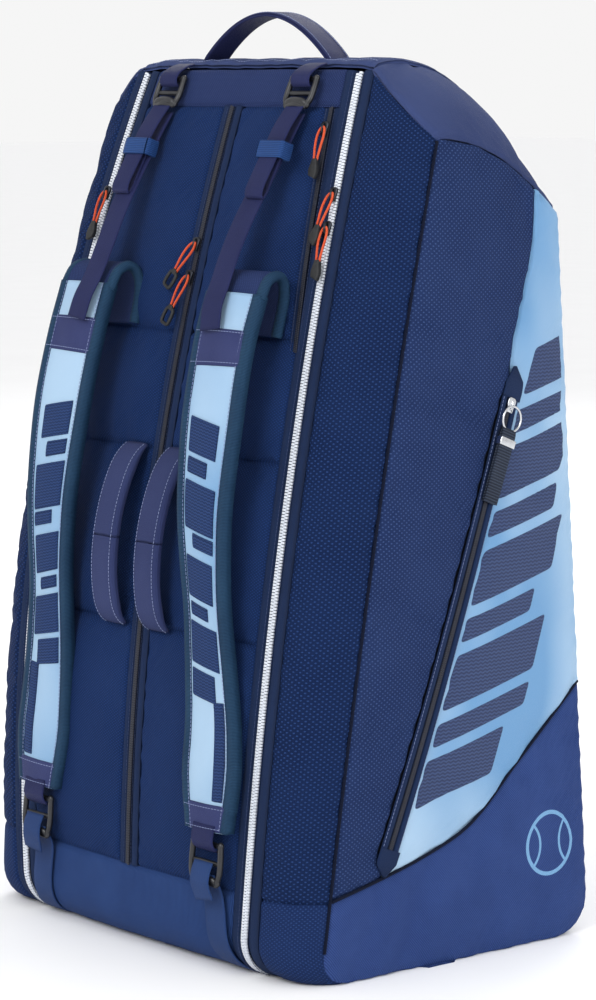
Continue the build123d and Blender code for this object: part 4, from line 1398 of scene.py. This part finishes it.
def straps(tag, way):
    strap = Strap()
    strap_pad(tag, way, strap)
    strap_edges(tag, way, strap)
    add = lambda *args, **extra: strap_patch(tag, way, strap, *args, **extra)
    add("band", 0.541, 0.511, -0.97, 0.97, BAND, rise=0.0010, thick=0.0016, slot="webbing")
    blocks = [(0.470, 0.441, -0.62, 0.50), (0.437, 0.424, -0.62, 0.20), (0.418, 0.379, -0.66, 0.62),
              (0.374, 0.362, -0.30, 0.62), (0.356, 0.322, -0.66, 0.58), (0.317, 0.306, -0.60, 0.30),
              (0.301, 0.266, -0.66, 0.64), (0.261, 0.238, -0.66, 0.40)]
    for k, (high, low, left, right) in enumerate(blocks):
        add(f"block_{k}", high, low, left, right, STRAP_MESH, slant=0.007, rise=0.0012, thick=0.0010)
    add("stripe", 0.232, 0.150, 0.30, 0.70, STRAP_MESH, rise=0.0012, thick=0.0010)
    add("end", 0.147, 0.1245, -0.97, 0.97, BAND, rise=0.0011, thick=0.0016, slot="webbing")
    for k, z in enumerate((0.5385, 0.5135, 0.1445, 0.1275)):
        l = strap.place_of(z)
        share = np.linspace(-0.92, 0.92, 40)
        path = strap.point(l + 0 * share, share, 0.0036 + 0 * share)
        normal = strap.at(strap.normal, l + 0 * share)
        stitches(f"{tag}_strap_row_{k}", mirror(path, way), mirror(normal, way), THREAD, f"{tag}_strap",
                 "webbing")
    strap_fold(tag, way, strap)


def strap_fold(tag, way, strap):
    """The strap's upper end: it turns over at the top and goes back and down to its seam in the front."""
    arch = off_front([(0.094, 0.0030, 0.535), (0.095, 0.0050, 0.564), (0.0962, 0.0118, 0.5795),
                      (0.0974, 0.0222, 0.5855), (0.0984, 0.0325, 0.5812)])
    mid, start = arch[2], strap.path[0] + np.array([0, 0, -0.004])
    path = smooth_path(np.concatenate([arch, [start]]), 0.002)
    tangent = unit(np.gradient(path, axis=0))
    normal = unit(np.cross(np.array([1.0, 0, 0]) + 0 * tangent, tangent))
    normal = -normal if normal[-1, 1] > 0 else normal
    width = np.linspace(0.058, 0.064, len(path)) / 0.060
    thick = 0.0068
    section = [(a, b - thick / 2) for a, b in flat_section(0.060, thick, 0.0004, 15)]
    piece = sweep(f"{tag}_root_pad", mirror(path, way), mirror(normal, way), section, TOP_YOKE_CLOTH,
                  widen=width)
    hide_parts(f"{tag}_strap_root")
    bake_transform(piece)
    across = np.cross(tangent, normal)
    for edge in (-1, 1):
        line = path + across * (edge * (0.0285 + 0.003 * np.linspace(0, 1, len(path))))[:, None]
        outline = round_section(0.0052, 12, 0.86)
        piece = sweep(f"{tag}_root_binding_{edge + 1}", mirror(line, way), mirror(normal, way), outline,
                      BINDING)
        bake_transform(piece)


def ladder_lock(name, body, x, off, z, width, height, way, node):
    """A moulded lock with an upper bar, a middle bar and a wavy lower bar."""
    at = front_frame(x, z, 0.0, None, way, off)
    w = width / 2
    rail = [(w - 0.0026, 0, 0.0022), (w - 0.0018, -0.0006, -height * 0.3),
            (w - 0.0022, -0.0012, -height * 0.62), (w - 0.0050, -0.0016, -height + 0.0055)]
    rails = [[(sign * a, b, c) for a, b, c in rail] for sign in (-1, 1)]
    top = [(-w + 0.0030, 0, 0.0006), (0, 0, 0.0012), (w - 0.0030, 0, 0.0006)]
    middle = [(a, 0.0004, -height * 0.42) for a in (-w + 0.0030, 0, w - 0.0030)]
    lower = [(-w + 0.0052, -0.0014, -height + 0.0052), (-w * 0.5, -0.0030, -height + 0.0078),
             (0, -0.0034, -height + 0.0088), (w * 0.5, -0.0030, -height + 0.0078),
             (w - 0.0052, -0.0014, -height + 0.0052)]
    lip = [(-w + 0.0045, -0.0018, -height + 0.0036), (0, -0.0040, -height + 0.0052),
           (w - 0.0045, -0.0018, -height + 0.0036)]
    bars = [(rails[0], 0.0026, 1.0), (rails[1], 0.0026, 1.0), (top, 0.0024, 1.0), (middle, 0.0023, 0.9),
            (lower, 0.0030, 0.85), (lip, 0.0022, 0.8)]
    for k, (points, radius, squash) in enumerate(bars):
        path = smooth_path(ring_path(at, points), 0.0012)
        piece = sweep(f"{name}_bar_{k}", path, at[2], round_section(radius, 14, squash), BLACK)
        place(piece, body, "black_plastic", node)
    for sign in (-1, 1):
        for height_share in (0.0, 1.0):
            spot = (sign * (w - 0.0028 - 0.0020 * height_share), -0.0013 * height_share,
                    0.0014 - (height - 0.0040) * height_share)
            knob(f"{name}_corner_{sign + 1}_{int(height_share)}", ring_path(at, [spot])[0], 0.0033, body,
                 node)


def knob(name, centre, radius, body, node):
    """A rounded corner of a lock."""
    turns, rows = 14, 8
    theta = np.linspace(0, np.pi, rows)[:, None]
    phi = np.linspace(0, math.tau, turns, endpoint=False)[None]
    p = np.stack([np.sin(theta) * np.cos(phi), np.sin(theta) * np.sin(phi) * 0.85, np.cos(theta) + 0 * phi],
                 -1)
    quads = tube_quads(rows, turns)[1][:, [0, 3, 2, 1]]
    points = centre + radius * p.reshape(-1, 3)
    place(make(name, points, quads, points[:, :2], BLACK), body, "black_plastic", node)


def webbing_piece(name, points, way, body, node, material, width=WEBBING, thick=WEBBING_T,
                  blend_to=None):
    """A strip of webbing through row-frame points of the right side."""
    path = smooth_path(points, 0.0025)
    tangent = unit(np.gradient(path, axis=0))
    across = np.array([1.0, 0, 0]) - tangent * tangent[:, :1]
    normal = unit(np.cross(tangent, across))
    normal = normal * np.sign(-normal[:, 1].mean())
    piece = sweep(name, mirror(path, way), mirror(normal, way), flat_section(width, thick, 0.0002), material)
    if node:
        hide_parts(node)
    if blend_to:
        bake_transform(piece)
    else:
        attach(piece, body)


def lower_webbing(tag, way):
    """The webbing from the strap's lock down the front, under the bottom edge to its seam."""
    x = 0.116
    lock = off_front([(x, 0.0135, 0.088), (x, 0.0085, 0.080)])
    fall = []
    for v, dx in ((0.070, 0.0), (0.055, 0.002), (0.038, 0.004), (0.022, 0.006), (0.006, 0.009),
                  (-0.012, 0.012), (-0.030, 0.015)):
        lift = 0.0042 if v > 0.06 else 0.0030
        p = front(np.float64(x + dx), np.float64(v))
        angle = min(max((FRONT_RADIUS - v) / FRONT_RADIUS, 0), math.pi / 2)
        fall.append(p + lift * np.array([0, -math.cos(angle), 0]))
    points = np.concatenate([lock, np.array(fall)])[::-1]
    webbing_piece(f"{tag}_lower_band", points, way, "root", f"{tag}_lower_webbing", LOW_WEB, 0.026)
    loop_at = off_front([(x, 0.0115, 0.1085), (x, 0.0150, 0.1115), (x, 0.0175, 0.1165), (x, 0.0165, 0.1250),
                         (x, 0.0155, 0.1300)])
    webbing_piece(f"{tag}_lock_loop", loop_at, way, f"{tag}_strap", None, WEB, 0.028, 0.0018)
    tail = off_front([(x, 0.0145, 0.0980), (x, 0.0180, 0.0900), (x, 0.0190, 0.0800),
                      (x + 0.002, 0.0150, 0.0660)])
    webbing_piece(f"{tag}_lock_tail", tail, way, "root", None, LOW_WEB, 0.024)


def lifter(tag, way):
    """The lifter webbing from the small lock at the top yoke to the strap, its folded tail and the keeper."""
    main = off_front([(0.087, 0.0060, 0.7180), (0.087, 0.0120, 0.700), (0.0865, 0.0240, 0.660),
                      (0.085, 0.0330, 0.630), (0.084, 0.0385, 0.604), (0.085, 0.0435, 0.578),
                      (0.087, 0.0485, 0.560), (0.090, 0.0490, 0.541)])
    webbing_piece(f"{tag}_lifter_main", main, way, "root", f"{tag}_lifter_webbing", WEB,
                  blend_to=f"{tag}_strap")
    tail = off_front([(0.088, 0.0085, 0.7270), (0.088, 0.0180, 0.7080), (0.0885, 0.0235, 0.690),
                      (0.089, 0.0300, 0.668), (0.089, 0.0330, 0.656), (0.089, 0.0315, 0.6500),
                      (0.089, 0.0285, 0.6540), (0.089, 0.0265, 0.664), (0.089, 0.0220, 0.684)])
    webbing_piece(f"{tag}_lifter_tail", tail, way, "root", f"{tag}_lifter_webbing", WEB, 0.0225, 0.0015,
                  blend_to=f"{tag}_strap")
    at = front_frame(0.0885, 0.688, 0.0, None, way, 0.0215)
    corner = [(-0.0135, -0.0055), (0.0135, -0.0055), (0.0145, -0.0035), (0.0145, 0.0030), (0.0135, 0.0048),
              (-0.0135, 0.0048), (-0.0145, 0.0030), (-0.0145, -0.0035)]
    dense = smooth_path([(a, b, 0) for a, b in corner + corner[:1]], 0.0012)[:, :2]
    ring = ring_path(at, [(a, b, 0) for a, b in dense])
    centre = ring_path(at, [(0, -0.0003, 0)])
    out = unit(ring - centre)
    piece = sweep(f"{tag}_keeper", ring, out, flat_section(0.0150, 0.0013, 0.0003), ELASTIC, caps=False)
    place(piece, "root", "elastic", "elastic_keepers")
    anchor = off_front([(0.087, -0.0040, 0.7600), (0.087, 0.0030, 0.7580), (0.087, 0.0105, 0.7530),
                        (0.087, 0.0120, 0.7480), (0.087, 0.0090, 0.7430), (0.087, 0.0030, 0.7440)])
    webbing_piece(f"{tag}_lifter_anchor", anchor, way, "root", "lifter_anchors", WEB, 0.0235)


# ---- handles ---------------------------------------------------------------------------------
def grab_handle():
    """The stitched webbing handle over the ridge. Each half bends where its foot is sewn down."""
    half, rise = 0.082, 0.040
    for tag, way in SIDES:
        x = np.linspace(0, 0.078, 40)
        z = RIDGE_Z - 0.001 + rise * (1 - (x / half) ** 2)
        foot = [(0.0835, RIDGE_Z - 0.0035), (0.086, RIDGE_Z - 0.006)]
        x = np.concatenate([x, [p[0] for p in foot]])
        z = np.concatenate([z, [p[1] for p in foot]])
        path = np.stack([x, RIDGE_Y + 0 * x, z], -1)
        tangent = unit(np.gradient(path, axis=0))
        normal = np.cross(tangent, [0, 1.0, 0])
        normal *= np.sign(normal[0, 2])
        for name, width, thick, shift in (("web", 0.028, 0.0020, -0.0019), ("over", 0.026, 0.0018, 0.0001)):
            piece = sweep(f"{tag}_handle_{name}", mirror(path + normal * shift, way), mirror(normal, way),
                          flat_section(width, thick, 0.0005), WEB)
            handle_blend(piece)
            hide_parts("top_handle", "handle_anchors")
        for k, y in enumerate((-0.0105, 0.0105)):
            line = path + normal * 0.0021 + np.array([0, y, 0])
            row = handle_stitches(f"{tag}_handle_stitch_{k}", line, normal, way, 0.0012, 0.0034)
            handle_blend(row)


def handle_stitches(name, path, normal, way, half, pitch):
    """A row of thicker stitches, each twice half long."""
    block, faces = prism([(-0.0003, 0), (0, 0.0004), (0.0003, 0), (0, -0.0003)], -half, half)
    return repeated(name, mirror(path, way), mirror(normal, way), block, faces, pitch, THREAD, pitch / 2,
                    True)


def handle_blend(piece):
    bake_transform(piece)


def carry_grips(tag, way):
    """A padded carry grip that bows out between two sewn ends."""
    low, high = 0.281, 0.434
    z = np.linspace(low, high, 70)
    bow = 0.0035 + 0.0215 * np.clip(1 - ((z - 0.3575) / 0.0760) ** 2, 0, 1) ** 0.62
    path = np.array([front(0.029, np.float64(q)) - np.array([0, b, 0]) for q, b in zip(z, bow)])
    ends = np.minimum((z - low), (high - z))
    full = np.clip(ends / 0.020, 0, 1)
    thick = 0.42 + 0.58 * (1 - (1 - full) ** 2)
    width = 0.90 + 0.10 * full
    section = [(0.015 * a, 0.0050 * b) for a, b in soft_rectangle(0.55, 28)]
    for part, cut in (("low", slice(0, 36)), ("high", slice(34, 70))):
        body = f"{tag}_grip"
        piece = sweep(f"{tag}_grip_{part}", mirror(path[cut], way), [0, -1, 0], section, GRIP_CLOTH,
                      width[cut], thick[cut])
        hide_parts(body, "grip_anchors")
        end, inner = (path[0], path[12]) if part == "low" else (path[-1], path[-13])
        mirror(inner, way).tolist()
        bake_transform(piece)
        for k, side_shift in enumerate((-0.0118, 0.0118)):
            line = path[cut] + np.array([side_shift, 0, 0])
            _, _, normal = frames(path[cut], [0, -1, 0])
            line = line + normal * (0.0049 * thick[cut] - 0.0002)[:, None]
            row = handle_stitches(f"{tag}_grip_{part}_stitch_{k}", line, normal, way, 0.0011, 0.0032)
            mirror(inner, way).tolist()
            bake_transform(row)


def soft_rectangle(roundness, count):
    """A closed outline between -1 and 1 with full rounded sides."""
    angle = np.linspace(0, math.tau, count, endpoint=False)
    c, s = np.cos(angle), np.sin(angle)
    return np.stack([np.sign(c) * np.abs(c) ** roundness, np.sign(s) * np.abs(s) ** roundness], -1).tolist()


# ---- the scene -------------------------------------------------------------------------------
def camera():
    data = bpy.data.cameras.new("camera")
    data.lens, data.sensor_width = 110.97, 36.0
    turn, pitch = math.radians(47.95), math.radians(7.676)
    back = Vector((math.sin(turn) * math.cos(pitch), -math.cos(turn) * math.cos(pitch), math.sin(pitch)))
    obj = bpy.data.objects.new("camera", data)
    obj.location = (2.040, -1.8085, 0.7433)
    obj.rotation_mode = "QUATERNION"
    obj.rotation_quaternion = (-back).to_track_quat("-Z", "Y")
    bpy.context.collection.objects.link(obj)
    bpy.context.scene.camera = obj


def light(name, location, target, size, power, tone=(1, 1, 1)):
    data = bpy.data.lights.new(name, "AREA")
    data.shape, data.size, data.energy, data.color = "DISK", size, power, tone
    obj = bpy.data.objects.new(name, data)
    obj.location = location
    obj.rotation_mode = "QUATERNION"
    obj.rotation_quaternion = (Vector(target) - Vector(location)).to_track_quat("-Z", "Y")
    bpy.context.collection.objects.link(obj)


def studio():
    middle = (0, 0, 0.4)
    light("key", (0.6, -3.0, 2.4), middle, 1.8, 52)
    light("fill", (3.2, -0.6, 1.4), middle, 2.2, 34, (0.96, 0.98, 1))
    light("back", (-1.6, 2.6, 2.6), middle, 2.0, 45)
    world = bpy.data.worlds.new("world")
    world.use_nodes = True
    world.node_tree.nodes["Background"].inputs[0].default_value = (1, 1, 1, 1)
    world.node_tree.nodes["Background"].inputs[1].default_value = 0.92
    bpy.context.scene.world = world
    bpy.context.scene.view_settings.view_transform = "Standard"
    size = 60.0
    bpy.ops.mesh.primitive_plane_add(size=size, location=(0, 0, -0.0002))
    floor = bpy.context.object
    floor.name = "floor"
    paint = Finish("floor_paint", (253, 253, 254), 0.8, gloss=0.1)
    grain = paint.clamp(paint.noise(6.0, 4.0), 0.3, 0.7)
    paint.tint(paint.mix(grain, (252, 252, 253), (254, 254, 255)))
    floor.data.materials.append(paint.mat)


def main():
    front_panels()
    top_panel()
    back_panel()
    back_seams()
    base_panel()
    dividers()
    centre_zip()
    coil_zip("front_pocket", pocket_line, 0.523, 0.724, "root", "front_pocket_zip", 0.0022)
    pocket_lining()
    side_pocket_zip()
    sliders()
    side_pocket_pull()
    grab_handle()
    for tag, way in SIDES:
        gussets(tag, way)
        side_piping(tag, way)
        side_panels(tag, way)
        shoulders(tag, way)
        side_zip(tag, way)
        straps(tag, way)
        lower_webbing(tag, way)
        lifter(tag, way)
        ladder_lock(f"{tag}_strap_lock", f"{tag}_strap_lock", 0.116, 0.012, 0.112, 0.040, 0.036, way,
                    f"{tag}_strap_lock")
        ladder_lock(f"{tag}_lifter_lock", f"{tag}_lifter_lock", 0.087, 0.007, 0.747, 0.035, 0.028, way,
                    f"{tag}_lifter_lock")
        carry_grips(tag, way)
    camera()
    studio()
    bpy.context.view_layer.update()
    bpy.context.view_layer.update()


main()
